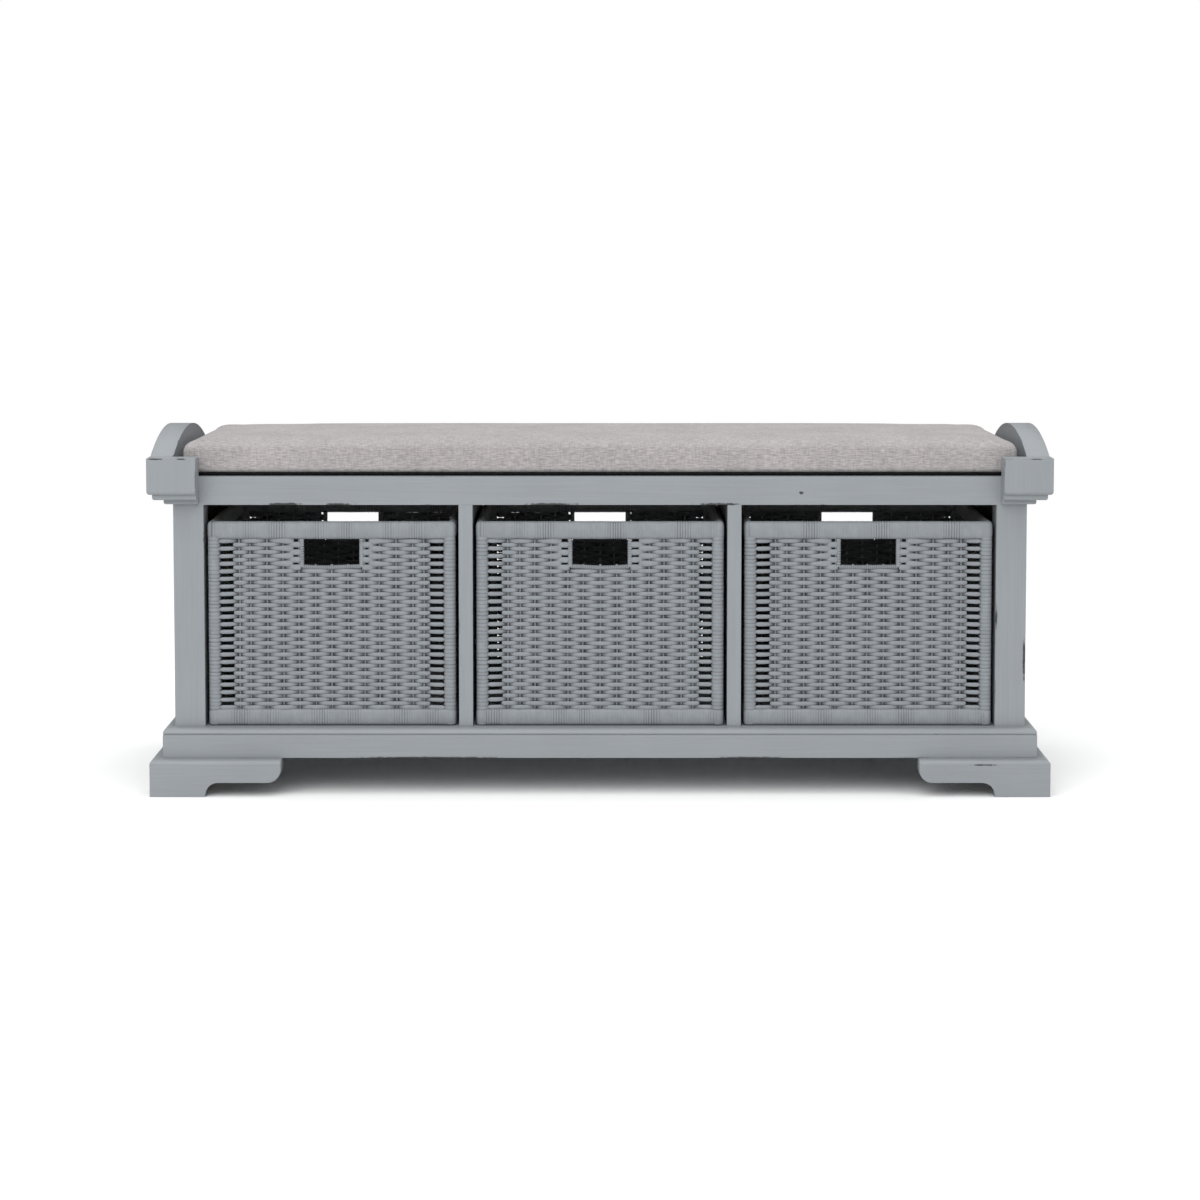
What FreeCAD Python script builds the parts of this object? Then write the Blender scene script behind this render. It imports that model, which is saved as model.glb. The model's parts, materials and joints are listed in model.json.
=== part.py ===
"""Entryway storage bench: a painted wooden case with three open bays, a padded seat
between two arched arms, a moulded base on bracket feet, and three woven baskets that
pull out of the bays.

Millimetres. +Z is up, +X is to the right and the front faces -Y. The origin lies on
the floor, midway along the width and the depth.
"""

import FreeCAD, Part
import os
import re
import Sketcher

# Driving dimensions: alias, value, meaning.
SIZES = [
    ("overall_width", 1220.0, "outer faces of the feet and of the arms"),
    ("overall_depth", 390.0, "front of the feet to the back"),
    ("foot_height", 50.5, "floor to the base rails"),
    ("foot_board", 24.0, "thickness of the foot brackets"),
    ("foot_front_length", 177.5, "front bracket, along the width"),
    ("foot_side_length", 140.0, "side bracket, along the depth"),
    ("foot_leg", 75.0, "width of the part that stands on the floor"),
    ("foot_curve", 17.5, "radius of the sawn curves in a bracket"),
    ("foot_lift", 19.5, "floor to the underside of a bracket's wing"),
    ("foot_round", 6.5, "rounded top edge of a foot"),
    ("glue_block", 40.0, "side of the square corner blocks"),
    ("glue_block_lift", 6.0, "floor to the underside of the glue blocks"),
    ("base_setback", 16.0, "base rails behind the feet's outer faces"),
    ("base_height", 41.0, "height of the base rails"),
    ("base_board", 18.0, "thickness of the base rails"),
    ("base_ovolo", 8.0, "radius of the base moulding"),
    ("base_quirk", 1.5, "width and depth of the line under the base moulding"),
    ("post_setback", 31.0, "posts behind the feet's outer faces"),
    ("post_side", 41.0, "side of the square posts"),
    ("shelf_board", 18.0, "thickness of the shelf"),
    ("basket_stop", 20.0, "rise of the rear base rail above the shelf"),
    ("bay_height", 303.1, "shelf to the underside of the top rails"),
    ("rail_board", 18.0, "thickness of the top and end rails"),
    ("top_rail_height", 38.7, "height of the top rails"),
    ("end_rail_upper", 55.0, "height of the upper end rails"),
    ("end_rail_lower", 50.0, "height of the lower end rails"),
    ("end_panel", 10.0, "thickness of the end panels"),
    ("groove_depth", 8.0, "grooves that hold the end panels"),
    ("panel_play", 0.5, "gap between a panel's edge and its groove's floor"),
    ("groove_play", 0.1, "gap between a panel's face and its groove's wall"),
    ("divider_board", 19.0, "thickness of the dividers"),
    ("deck_board", 15.0, "thickness of the seat deck"),
    ("cleat", 18.0, "side of the square cleats under the deck"),
    ("arm_width", 31.0, "thickness of an arm"),
    ("arm_block_width", 66.0, "width of a front arm block"),
    ("arm_rear_block", 38.0, "length of a rear arm block"),
    ("arm_block_height", 57.0, "height of the arm blocks"),
    ("arm_above_seat", 27.0, "top of the arm blocks above the top rails"),
    ("arm_rise", 31.7, "rise of an arm's arch above its blocks"),
    ("arm_flat", 7.0, "flat between the front block and the arch"),
    ("arm_lower_step", 7.5, "height of the arm's lower moulding"),
    ("arm_ovolo", 5.0, "radius of the arm's upper moulding"),
    ("arm_quirk", 1.5, "step between the arm's two mouldings"),
    ("arm_lower_round", 3.5, "radius of the arm's lower moulding"),
    ("bead_height", 7.0, "height of the bead under an arm"),
    ("bead_width", 11.0, "bead outside the post's face"),
    ("bead_round", 3.0, "rounded lower edge of the bead"),
    ("strip_thickness", 1.6, "hook-and-loop strips on the deck"),
    ("strip_length", 300.0, "length of one strip"),
    ("strip_width", 25.0, "width of one strip"),
    ("cushion_base", 4.0, "thickness of the board under the cushion"),
    ("cushion_base_inset", 12.0, "board inside the cushion's outline"),
    ("cushion_height", 48.0, "thickness of the cushion"),
    ("cushion_end_gap", 14.0, "cushion to the inside of an arm"),
    ("cushion_front", 31.5, "cushion behind the feet's front face"),
    ("cushion_rear", 28.0, "cushion ahead of the back"),
    ("cushion_corner", 16.0, "cushion corner radius, from above"),
    ("cushion_edge", 12.0, "cushion edge radius"),
    ("basket_gap", 3.6, "basket to the sides of its bay"),
    ("basket_lift", 0.3, "basket above the shelf"),
    ("basket_headroom", 22.8, "basket to the underside of the top rails"),
    ("basket_front", 33.0, "basket behind the feet's front face"),
    ("basket_rear_gap", 1.0, "basket ahead of its stop"),
    ("basket_bar", 12.0, "thickness of the wrapped bars"),
    ("basket_rim", 25.0, "height of the rim bars"),
    ("basket_foot_bar", 21.0, "height of the lower bars"),
    ("basket_corner_bar", 17.0, "width of the corner bars"),
    ("basket_corner", 5.0, "radius of the basket's upright corners"),
    ("weave", 8.0, "thickness of the woven walls"),
    ("weave_inset", 2.0, "woven walls behind the bars' outer faces"),
    ("hand_hole_width", 75.0, "width of a hand hole"),
    ("hand_hole_height", 34.0, "height of a hand hole"),
    ("dowel", 8.0, "diameter of the dowels"),
    ("dowel_length", 36.0, "length of the dowels"),
    ("dowel_play", 0.1, "radial gap round a dowel"),
    ("dowel_end_play", 1.0, "gap at each end of a dowel"),
    ("top_rail_dowel", 9.0, "dowels inside a top rail's edges"),
    ("end_rail_dowel", 12.0, "dowels inside an end rail's edges"),
    ("block_dowel", 8.0, "lower dowel above an arm block's underside"),
    ("block_dowel_side", 10.0, "front block dowels inside the post's face"),
    ("block_dowel_rear", 12.0, "rear block dowels ahead of the back"),
    ("screw_shank", 4.0, "diameter of the screws"),
    ("screw_head", 8.0, "diameter of the screw heads"),
    ("screw_head_depth", 2.4, "depth of the countersunk heads"),
    ("screw_play", 0.05, "radial gap round a screw"),
    ("deck_screw", 30.0, "length of the deck screws"),
    ("arm_screw", 50.0, "length of the arm screws"),
    ("foot_screw", 60.0, "length of the foot screws"),
    ("deck_screw_inset", 40.0, "deck screws inside the posts"),
    ("arm_screw_inset", 20.0, "end arm screws inside the posts"),
    ("foot_screw_inset", 15.0, "foot screws inside the base rails"),
    ("strip_offset", 78.0, "hook-and-loop strips off the middle of the depth"),
]

# Places worked out from the driving dimensions. x is to the right-hand piece.
PLACES = {
    "side_x": "overall_width / 2",
    "front_y": "-overall_depth / 2",
    "rear_y": "overall_depth / 2",
    "base_x": "side_x - base_setback",
    "base_y": "front_y + base_setback",
    "base_inner_x": "base_x - base_board",
    "base_inner_y": "base_y + base_board",
    "post_x": "side_x - post_setback",
    "post_y": "front_y + post_setback",
    "bay_x": "post_x - post_side",
    "post_back_y": "post_y + post_side",
    "rear_post_y": "rear_y - post_side",
    "rail_back_y": "post_y + rail_board",
    "rear_rail_y": "rear_y - rail_board",
    "shelf_z": "foot_height + base_height",
    "rail_z": "shelf_z + bay_height",
    "seat_z": "rail_z + top_rail_height",
    "deck_z": "seat_z - deck_board",
    "end_rail_x": "post_x - rail_board",
    "end_rail_low_z": "shelf_z + end_rail_lower",
    "end_rail_high_z": "seat_z - end_rail_upper",
    "panel_x": "post_x - (rail_board - end_panel) / 2",
    "bay_width": "(2 * bay_x - 2 * divider_board) / 3",
    "divider_x": "bay_width / 2",
    "arm_inner_x": "side_x - arm_width",
    "arm_top_z": "seat_z + arm_above_seat",
    "arm_low_z": "arm_top_z - arm_block_height",
    "arm_step_z": "arm_low_z + arm_lower_step",
    "arm_crest_z": "arm_top_z + arm_rise",
    "arm_back_y": "rear_y - arm_rear_block",
    "arch_start_y": "post_y + arm_flat",
    "arch_y": "(arch_start_y + arm_back_y) / 2",
    "arch_half": "(arm_back_y - arch_start_y) / 2",
    "arch_radius": "(arch_half * arch_half + arm_rise * arm_rise) / (2 * arm_rise)",
    "bead_z": "arm_low_z - bead_height",
    "bead_x": "post_x + bead_width",
    "bead_y": "post_y - bead_width",
    "strip_z": "seat_z + strip_thickness",
    "cushion_z": "strip_z + cushion_base",
    "cushion_x": "arm_inner_x - cushion_end_gap",
    "cushion_front_y": "front_y + cushion_front",
    "cushion_rear_y": "rear_y - cushion_rear",
    "basket_z": "shelf_z + basket_lift",
    "basket_y": "front_y + basket_front",
    "basket_back_y": "rear_rail_y - basket_rear_gap",
    "basket_half": "bay_width / 2 - basket_gap",
    "weave_low_z": "basket_z + basket_foot_bar",
    "basket_top_z": "rail_z - basket_headroom",
    "weave_high_z": "basket_top_z - basket_rim",
}

SIZE_NAMES = {name for name, value, meaning in SIZES}
ROLES = {"XY": "XY_Plane", "XZ": "XZ_Plane", "YZ": "YZ_Plane"}
OVERCUT = "1"  # how far a cut runs past the wood
LEAST_CUT = 1.0  # cubic millimetres that every pocket must remove
FIRST_ROW = 1  # the sheet's first row
MIDDLE = 3  # the number Sketcher gives to an arc's centre

doc = FreeCAD.newDocument("entryway_bench")
sheet = doc.addObject("Spreadsheet::Sheet", "Sizes")
subparts = {}


def fill_sheet():
    """Writes each driving dimension as one row: meaning, value."""
    for row, (name, value, meaning) in enumerate(SIZES, start=FIRST_ROW):
        sheet.set("A%d" % row, meaning)
        sheet.set("B%d" % row, str(value))
        sheet.setAlias("B%d" % row, name)
    doc.recompute()


def bound(text):
    """Turns a formula of size and place names into one that reads the sheet."""

    def swap(match):
        word = match.group(0)
        if word in SIZE_NAMES:
            return "Sizes." + word
        if word in PLACES:
            return "(" + bound(PLACES[word]) + ")"
        return word

    return re.sub(r"[a-z_]+", swap, text)


def flipped(text, side):
    """The formula for the right-hand piece, or its mirror image."""
    return text if side > 0 else "-(" + text + ")"


def span(low, high, side):
    """Two x formulas in rising order, on the side asked for."""
    return (low, high) if side > 0 else (flipped(high, side), flipped(low, side))


def widened(low, high):
    """A span that runs past the wood at both ends."""
    return (low + " - " + OVERCUT, high + " + " + OVERCUT)


def keep(obj, label):
    """Makes an object a sub-part: its label names its file."""
    obj.Label = label
    subparts[label] = obj
    return obj


def place(obj, x, y, z):
    for axis, text in zip("xyz", (x, y, z)):
        obj.setExpression("Placement.Base." + axis, bound(text))


def board(x_span, y_span, z_span, name="Board"):
    """A square-edged board between three pairs of formulas."""
    box = doc.addObject("Part::Box", name)
    for size, (low, high) in zip(("Length", "Width", "Height"), (x_span, y_span, z_span)):
        box.setExpression(size, bound("(%s) - (%s)" % (high, low)))
    place(box, x_span[0], y_span[0], z_span[0])
    return box


def group(objects, name="Group"):
    compound = doc.addObject("Part::Compound", name)
    compound.Links = objects
    return compound


def cut(blank, tool, name="Cut"):
    piece = doc.addObject("Part::Cut", name)
    piece.Base = blank
    piece.Tool = tool
    return piece


def fuse(objects, name="Fuse"):
    joined = doc.addObject("Part::MultiFuse", name)
    joined.Shapes = objects
    return joined


def draw(sketch, outline, side):
    """Draws a closed outline, every corner bound to the sheet.

    A corner is (x, y). A corner that a round stretch leads to is (x, y, centre_x,
    centre_y, axis), where axis names the coordinate of the corner that is bound.
    """

    def value(text):
        return float(sketch.evalExpression(bound(text)))

    corners = [(flipped(corner[0], side),) + corner[1:] for corner in outline]
    points = [FreeCAD.Vector(value(c[0]), value(c[1]), 0) for c in corners]
    ends = []
    for index, corner in enumerate(corners):
        start, end = points[index - 1], points[index]
        if len(corner) == 2:
            sketch.addGeometry(Part.LineSegment(start, end), False)
            ends.append((1, 2))
            continue
        centre = FreeCAD.Vector(value(flipped(corner[2], side)), value(corner[3]), 0)
        from_start, from_end = start - centre, end - centre
        turns_left = from_start.cross(from_end).z > 0
        first, last = (from_start, from_end) if turns_left else (from_end, from_start)
        angles = [FreeCAD.Vector(1, 0, 0).getAngle(v) for v in (first, last)]
        angles = [a if v.y >= 0 else -a for a, v in zip(angles, (first, last))]
        circle = Part.Circle(centre, FreeCAD.Vector(0, 0, 1), from_start.Length)
        sketch.addGeometry(Part.ArcOfCircle(circle, angles[0], angles[1]), False)
        ends.append((1, 2) if turns_left else (2, 1))
    for index, corner in enumerate(corners):
        following = (index + 1) % len(corners)
        joint = (index, ends[index][1], following, ends[following][0])
        sketch.addConstraint(Sketcher.Constraint("Coincident", *joint))
        bound_axes = "xy" if len(corner) == 2 else corner[4]
        if "x" in bound_axes:
            bind_point(sketch, "DistanceX", index, ends[index][1], corner[0], value)
        if "y" in bound_axes:
            bind_point(sketch, "DistanceY", index, ends[index][1], corner[1], value)
        if len(corner) > 2:
            bind_point(sketch, "DistanceX", index, MIDDLE, flipped(corner[2], side), value)
            bind_point(sketch, "DistanceY", index, MIDDLE, corner[3], value)


def bind_point(sketch, kind, edge, end, text, value):
    """Ties one coordinate of a point, measured from the sketch's origin."""
    rule = Sketcher.Constraint(kind, -1, 1, edge, end, value(text))
    number = sketch.addConstraint(rule)
    sketch.setExpression("Constraints[%d]" % number, bound(text))


def shaped(body, kind, plane, outline, low, high, side=1):
    """Adds (Pad) or removes (Pocket) an outline drawn on a plane, from low to high."""
    sketch = body.newObject("Sketcher::SketchObject", "Outline")
    origin_planes = body.Origin.OriginFeatures
    support = next(f for f in origin_planes if f.Role == ROLES[plane])
    sketch.AttachmentSupport = [(support, "")]
    sketch.MapMode = "FlatFace"
    length = "(%s) - (%s)" % (high, low)
    if plane == "XZ":  # its normal points to -Y
        low, high = "-(" + high + ")", "-(" + low + ")"
    level = low if kind == "Pad" else high
    sketch.setExpression("AttachmentOffset.Base.z", bound(level))
    draw(sketch, outline, side)
    feature = body.newObject("PartDesign::" + kind, kind)
    feature.Profile = sketch
    feature.Reversed = False
    feature.setExpression("Length", bound(length))
    return feature


def new_body(name="Body"):
    return doc.addObject("PartDesign::Body", name)


def rectangle(x_low, x_high, y_low, y_high):
    return [(x_low, y_low), (x_high, y_low), (x_high, y_high), (x_low, y_high)]


def named(part, side):
    return part + ("_right" if side > 0 else "_left")


def turned(axis):
    """The turn that points a cylinder along +x, -x, +y, +z or -z."""
    turns = {
        "+x": (0, 1, 90),
        "-x": (0, 1, -90),
        "+y": (1, 0, -90),
        "+z": (1, 0, 0),
        "-z": (1, 0, 180),
    }
    x, y, angle = turns[axis]
    rotation = FreeCAD.Rotation(FreeCAD.Vector(x, y, 0), angle)
    return FreeCAD.Placement(FreeCAD.Vector(), rotation)


def rod(axis, start, length, radius):
    """A cylinder from start along an axis."""
    cylinder = doc.addObject("Part::Cylinder", "Rod")
    cylinder.Placement = turned(axis)
    cylinder.setExpression("Radius", bound(radius))
    cylinder.setExpression("Height", bound(length))
    place(cylinder, *start)
    return cylinder


def head(axis, start, extra):
    """A screw's countersunk head, wide end at start."""
    cone = doc.addObject("Part::Cone", "Head")
    cone.Placement = turned(axis)
    cone.setExpression("Radius1", bound("screw_head / 2" + extra))
    cone.setExpression("Radius2", bound("screw_shank / 2" + extra))
    cone.setExpression("Height", bound("screw_head_depth"))
    place(cone, *start)
    return cone


# --- Dowels and screws, with the holes they need ---


def dowel_places():
    """Axis and middle of every dowel."""
    places = []
    for side in (-1, 1):
        for z in ("rail_z + top_rail_dowel", "seat_z - top_rail_dowel"):
            for y in ("post_y + rail_board / 2", "rear_y - rail_board / 2"):
                places.append(("+x", flipped("bay_x", side), y, z))
        end_levels = (
            "shelf_z + end_rail_dowel",
            "end_rail_low_z - end_rail_dowel",
            "end_rail_high_z + end_rail_dowel",
            "seat_z - end_rail_dowel",
        )
        for z in end_levels:
            for y in ("post_back_y", "rear_post_y"):
                places.append(("+y", flipped("post_x - rail_board / 2", side), y, z))
        for z in ("arm_low_z + block_dowel", "seat_z - top_rail_dowel"):
            places.append(("+y", flipped("post_x - block_dowel_side", side), "post_y", z))
            places.append(("+x", flipped("post_x", side), "rear_y - block_dowel_rear", z))
    return places


def make_dowels():
    dowels, holes = [], []
    for axis, x, y, z in dowel_places():
        for extra, play, made in (("0", "0", dowels), ("dowel_end_play", "dowel_play", holes)):
            half = "(dowel_length / 2 + %s)" % extra
            start = (x + " - " + half, y, z) if axis == "+x" else (x, y + " - " + half, z)
            made.append(rod(axis, start, "2 * " + half, "dowel / 2 + " + play))
    keep(group(dowels), "dowels")
    return group(holes, "DowelHoles")


def screw_places():
    """Axis, head and length of every screw."""
    places = []
    for side in (-1, 1):
        for y in ("post_back_y + deck_screw_inset", "rear_post_y - deck_screw_inset"):
            x = flipped("end_rail_x - cleat / 2", side)
            places.append(("-z", x, y, "seat_z", "deck_screw"))
        outward = "+x" if side > 0 else "-x"
        x = flipped("end_rail_x - cleat", side)
        middle = "(post_back_y + rear_post_y) / 2"
        for y in ("post_back_y + arm_screw_inset", middle, "rear_post_y - arm_screw_inset"):
            places.append((outward, x, y, "deck_z - cleat / 2", "arm_screw"))
        for y in ("base_inner_y + foot_screw_inset", "rear_rail_y - foot_screw_inset"):
            x = flipped("base_inner_x - foot_screw_inset", side)
            places.append(("+z", x, y, "glue_block_lift", "foot_screw"))
    for x in ("-(bay_width + divider_board)", "0", "bay_width + divider_board"):
        for y in ("rail_back_y + cleat / 2", "rear_rail_y - cleat / 2"):
            places.append(("-z", x, y, "seat_z", "deck_screw"))
    return places


def make_screws():
    screws, holes = [], []
    for axis, x, y, z, length in screw_places():
        for extra, made in ((" + 0", screws), (" + screw_play", holes)):
            shank = rod(axis, (x, y, z), length + extra, "screw_shank / 2" + extra)
            made.append(fuse([shank, head(axis, (x, y, z), extra)], "Screw"))
    keep(group(screws), "screws")
    return group(holes, "ScrewHoles")


# --- Base and feet ---


def mitre(body, side, outer_x, outer_y, thickness, top, board_kept):
    """Saws the mitre off the end of a front board or off a side board."""
    past_x = outer_x + " + " + OVERCUT
    past_y = outer_y + " - " + OVERCUT
    inner_x = "%s - %s - %s" % (outer_x, thickness, OVERCUT)
    inner_y = "%s + %s + %s" % (outer_y, thickness, OVERCUT)
    waste_corner = (past_x, inner_y) if board_kept == "front" else (inner_x, past_y)
    outline = [(past_x, past_y), waste_corner, (inner_x, inner_y)]
    shaped(body, "Pocket", "XY", outline, "-" + OVERCUT, top + " + " + OVERCUT, side)


def base_section(outer, inward):
    """Section of a moulded base rail. inward is "+" or "-", from outer to the inside."""
    top, ovolo = "shelf_z", "shelf_z - base_ovolo"
    inner = "%s %s base_board" % (outer, inward)
    flat = "%s %s base_ovolo" % (outer, inward)
    groove = "%s %s base_quirk" % (outer, inward)
    return [
        (inner, "foot_height"),
        (outer, "foot_height"),
        (outer, ovolo + " - base_quirk"),
        (groove, ovolo + " - base_quirk"),
        (groove, ovolo),
        (outer, ovolo),
        (flat, top, flat, ovolo, "x"),
        (inner, top),
    ]


def make_base():
    front = new_body()
    section = base_section("base_y", "+")
    shaped(front, "Pad", "YZ", section, "-(base_x)", "base_x")
    for side in (-1, 1):
        mitre(front, side, "base_x", "base_y", "base_board", "shelf_z", "front")
        rail = new_body()
        section = base_section("base_x", "-")
        shaped(rail, "Pad", "XZ", section, "base_y", "rear_y", side)
        mitre(rail, side, "base_x", "base_y", "base_board", "shelf_z", "side")
        keep(rail, named("base_rail", side))
    keep(front, "base_rail_front")
    rear = new_body()
    stop_z = "shelf_z + basket_stop"
    shaped(rear, "Pad", "XZ", [
        ("-(base_inner_x)", "foot_height"),
        ("base_inner_x", "foot_height"),
        ("base_inner_x", "shelf_z"),
        ("bay_x", "shelf_z"),
        ("bay_x", stop_z),
        ("-(bay_x)", stop_z),
        ("-(bay_x)", "shelf_z"),
        ("-(base_inner_x)", "shelf_z"),
    ], "rear_rail_y", "rear_y")
    keep(rear, "base_rail_rear")
    inside_x = ("-(base_inner_x)", "base_inner_x")
    shelf_span = ("shelf_z - shelf_board", "shelf_z")
    keep(board(inside_x, ("base_inner_y", "rear_rail_y"), shelf_span), "shelf")


def foot_section(outer, inward):
    """Section of a foot board, its top outer edge rounded."""
    inner = "%s %s foot_board" % (outer, inward)
    rounded = "%s %s foot_round" % (outer, inward)
    shoulder = "foot_height - foot_round"
    return [
        (inner, "0"),
        (outer, "0"),
        (outer, shoulder),
        (rounded, "foot_height", rounded, shoulder, "x"),
        (inner, "foot_height"),
    ]


def foot_waste(leg_end, tip, outward):
    """What is sawn away below a bracket's wing, from the leg's foot to the wing's tip.

    outward is the sign that leads from the tip towards the leg.
    """
    curve_end = "%s %s foot_curve" % (leg_end, "-" if outward == "+" else "+")
    wing = "%s %s foot_curve" % (tip, outward)
    beyond = "%s %s %s" % (tip, "-" if outward == "+" else "+", OVERCUT)
    below = "-" + OVERCUT
    spring = "foot_lift - foot_curve"
    return [
        (leg_end, below),
        (leg_end, spring),
        (curve_end, "foot_lift", curve_end, spring, "x"),
        (wing, "foot_lift"),
        (tip, "foot_lift + foot_curve", wing, "foot_lift + foot_curve", "y"),
        (beyond, "foot_lift + foot_curve"),
        (beyond, below),
    ]


def make_feet():
    rear_boards = []
    for side in (-1, 1):
        front = new_body()
        tip_x, leg_x = "side_x - foot_front_length", "side_x - foot_leg"
        low_x, high_x = span(tip_x, "side_x", side)
        shaped(front, "Pad", "YZ", foot_section("front_y", "+"), low_x, high_x)
        waste = foot_waste(leg_x, tip_x, "+")
        shaped(front, "Pocket", "XZ", waste, *widened("front_y", "front_y + foot_board"), side)
        mitre(front, side, "side_x", "front_y", "foot_board", "foot_height", "front")
        keep(front, named("foot_front", side))

        low_x, high_x = widened(*span("side_x - foot_board", "side_x", side))
        front_tip = "front_y + foot_side_length"
        section = foot_section("side_x", "-")
        side_front = new_body()
        shaped(side_front, "Pad", "XZ", section, "front_y", front_tip, side)
        waste = foot_waste("front_y + foot_leg", front_tip, "-")
        shaped(side_front, "Pocket", "YZ", waste, low_x, high_x)
        mitre(side_front, side, "side_x", "front_y", "foot_board", "foot_height", "side")
        keep(side_front, named("foot_side_front", side))

        rear_tip = "rear_y - foot_side_length"
        side_rear = new_body()
        shaped(side_rear, "Pad", "XZ", section, rear_tip, "rear_y", side)
        waste = foot_waste("rear_y - foot_leg", rear_tip, "+")
        shaped(side_rear, "Pocket", "YZ", waste, low_x, high_x)
        keep(side_rear, named("foot_side_rear", side))

        x_span = span("side_x - foot_leg", "side_x - foot_board", side)
        rear_boards.append(board(x_span, ("rear_y - foot_board", "rear_y"), ("0", "foot_height")))
    keep(group(rear_boards), "foot_rear_boards")


def make_corner_blocks(screw_holes):
    """Square blocks behind each foot and inside each corner of the base."""
    foot_blocks, base_blocks = [], []
    for side in (-1, 1):
        foot_x = span("side_x - foot_board - glue_block", "side_x - foot_board", side)
        base_span = span("base_inner_x - glue_block", "base_inner_x", side)
        foot_z = ("glue_block_lift", "foot_height")
        base_z = ("foot_height", "shelf_z - shelf_board")
        front_foot = "front_y + foot_board"
        rear_foot = "rear_y - foot_board"
        foot_blocks.append(board(foot_x, (front_foot, front_foot + " + glue_block"), foot_z))
        foot_blocks.append(board(foot_x, (rear_foot + " - glue_block", rear_foot), foot_z))
        front_span = ("base_inner_y", "base_inner_y + glue_block")
        rear_span = ("rear_rail_y - glue_block", "rear_rail_y")
        base_blocks.append(board(base_span, front_span, base_z))
        base_blocks.append(board(base_span, rear_span, base_z))
    keep(cut(group(foot_blocks), screw_holes), "foot_glue_blocks")
    keep(cut(group(base_blocks), screw_holes), "base_corner_blocks")


# --- Case ---


def make_case(dowel_holes, screw_holes):
    for side in (-1, 1):
        post_span = span("bay_x", "post_x", side)
        rail_span = span("end_rail_x", "post_x", side)
        groove_x = span("panel_x - end_panel - groove_play", "panel_x + groove_play", side)
        groove_y = ("post_back_y - groove_depth", "rear_post_y + groove_depth")
        groove_z = ("end_rail_low_z - groove_depth", "end_rail_high_z + groove_depth")
        groove = board(groove_x, groove_y, groove_z, "Groove")
        hollows = group([groove, dowel_holes], "Hollows")
        drilled = group([groove, dowel_holes, screw_holes], "Hollows")
        post_ends = {"front": ("post_y", "post_back_y"), "rear": ("rear_post_y", "rear_y")}
        for end, y_span in post_ends.items():
            post = board(post_span, y_span, ("shelf_z", "seat_z"))
            keep(cut(post, hollows), named("post_" + end, side))
        between = ("post_back_y", "rear_post_y")
        upper = board(rail_span, between, ("end_rail_high_z", "seat_z"))
        lower = board(rail_span, between, ("shelf_z", "end_rail_low_z"))
        keep(cut(upper, drilled), named("end_rail_upper", side))
        keep(cut(lower, hollows), named("end_rail_lower", side))
        panel_y = (groove_y[0] + " + panel_play", groove_y[1] + " - panel_play")
        panel_z = (groove_z[0] + " + panel_play", groove_z[1] + " - panel_play")
        panel = board(span("panel_x - end_panel", "panel_x", side), panel_y, panel_z)
        keep(panel, named("end_panel", side))

        divider = new_body()
        outline = [
            ("post_y", "shelf_z"),
            ("rear_rail_y", "shelf_z"),
            ("rear_rail_y", "deck_z"),
            ("rail_back_y", "deck_z"),
            ("rail_back_y", "rail_z"),
            ("post_y", "rail_z"),
        ]
        low_x, high_x = span("divider_x", "divider_x + divider_board", side)
        shaped(divider, "Pad", "YZ", outline, low_x, high_x)
        keep(divider, named("divider", side))

    rail_x = ("-(bay_x)", "bay_x")
    rail_ends = {"front": ("post_y", "rail_back_y"), "rear": ("rear_rail_y", "rear_y")}
    for end, y_span in rail_ends.items():
        rail = board(rail_x, y_span, ("rail_z", "seat_z"))
        keep(cut(rail, dowel_holes), "top_rail_" + end)


def make_deck(screw_holes):
    """The seat deck, notched round the posts, and the cleats that carry it."""
    deck = new_body()
    shaped(deck, "Pad", "XY", [
        ("-(bay_x)", "rail_back_y"),
        ("bay_x", "rail_back_y"),
        ("bay_x", "post_back_y"),
        ("end_rail_x", "post_back_y"),
        ("end_rail_x", "rear_post_y"),
        ("bay_x", "rear_post_y"),
        ("bay_x", "rear_rail_y"),
        ("-(bay_x)", "rear_rail_y"),
        ("-(bay_x)", "rear_post_y"),
        ("-(end_rail_x)", "rear_post_y"),
        ("-(end_rail_x)", "post_back_y"),
        ("-(bay_x)", "post_back_y"),
    ], "deck_z", "seat_z")
    keep(cut(deck, screw_holes), "seat_deck")
    level = ("deck_z - cleat", "deck_z")
    cleats = []
    for y_span in (("rail_back_y", "rail_back_y + cleat"), ("rear_rail_y - cleat", "rear_rail_y")):
        cleats.append(board(("-(divider_x)", "divider_x"), y_span, level))
        for side in (-1, 1):
            bay = span("divider_x + divider_board", "bay_x", side)
            cleats.append(board(bay, y_span, level))
    for side in (-1, 1):
        x_span = span("end_rail_x - cleat", "end_rail_x", side)
        cleats.append(board(x_span, ("post_back_y", "rear_post_y"), level))
    keep(cut(group(cleats), screw_holes), "deck_cleats")


# --- Arms ---


def arm_waste(outer, outward):
    """What the moulding cutter takes off an arm's lower outer edge."""
    inward = "-" if outward == "+" else "+"
    upper = "%s %s arm_ovolo" % (outer, inward)
    step = "%s %s arm_quirk" % (upper, inward)
    lower = "%s %s arm_lower_round" % (step, inward)
    past = "%s %s %s" % (outer, outward, OVERCUT)
    below = "arm_low_z - " + OVERCUT
    return [
        (past, below),
        (past, "arm_step_z + arm_ovolo"),
        (outer, "arm_step_z + arm_ovolo"),
        (upper, "arm_step_z", upper, "arm_step_z + arm_ovolo", "x"),
        (step, "arm_step_z"),
        (step, "arm_low_z + arm_lower_round"),
        (lower, "arm_low_z", lower, "arm_low_z + arm_lower_round", "x"),
        (lower, below),
    ]


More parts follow.
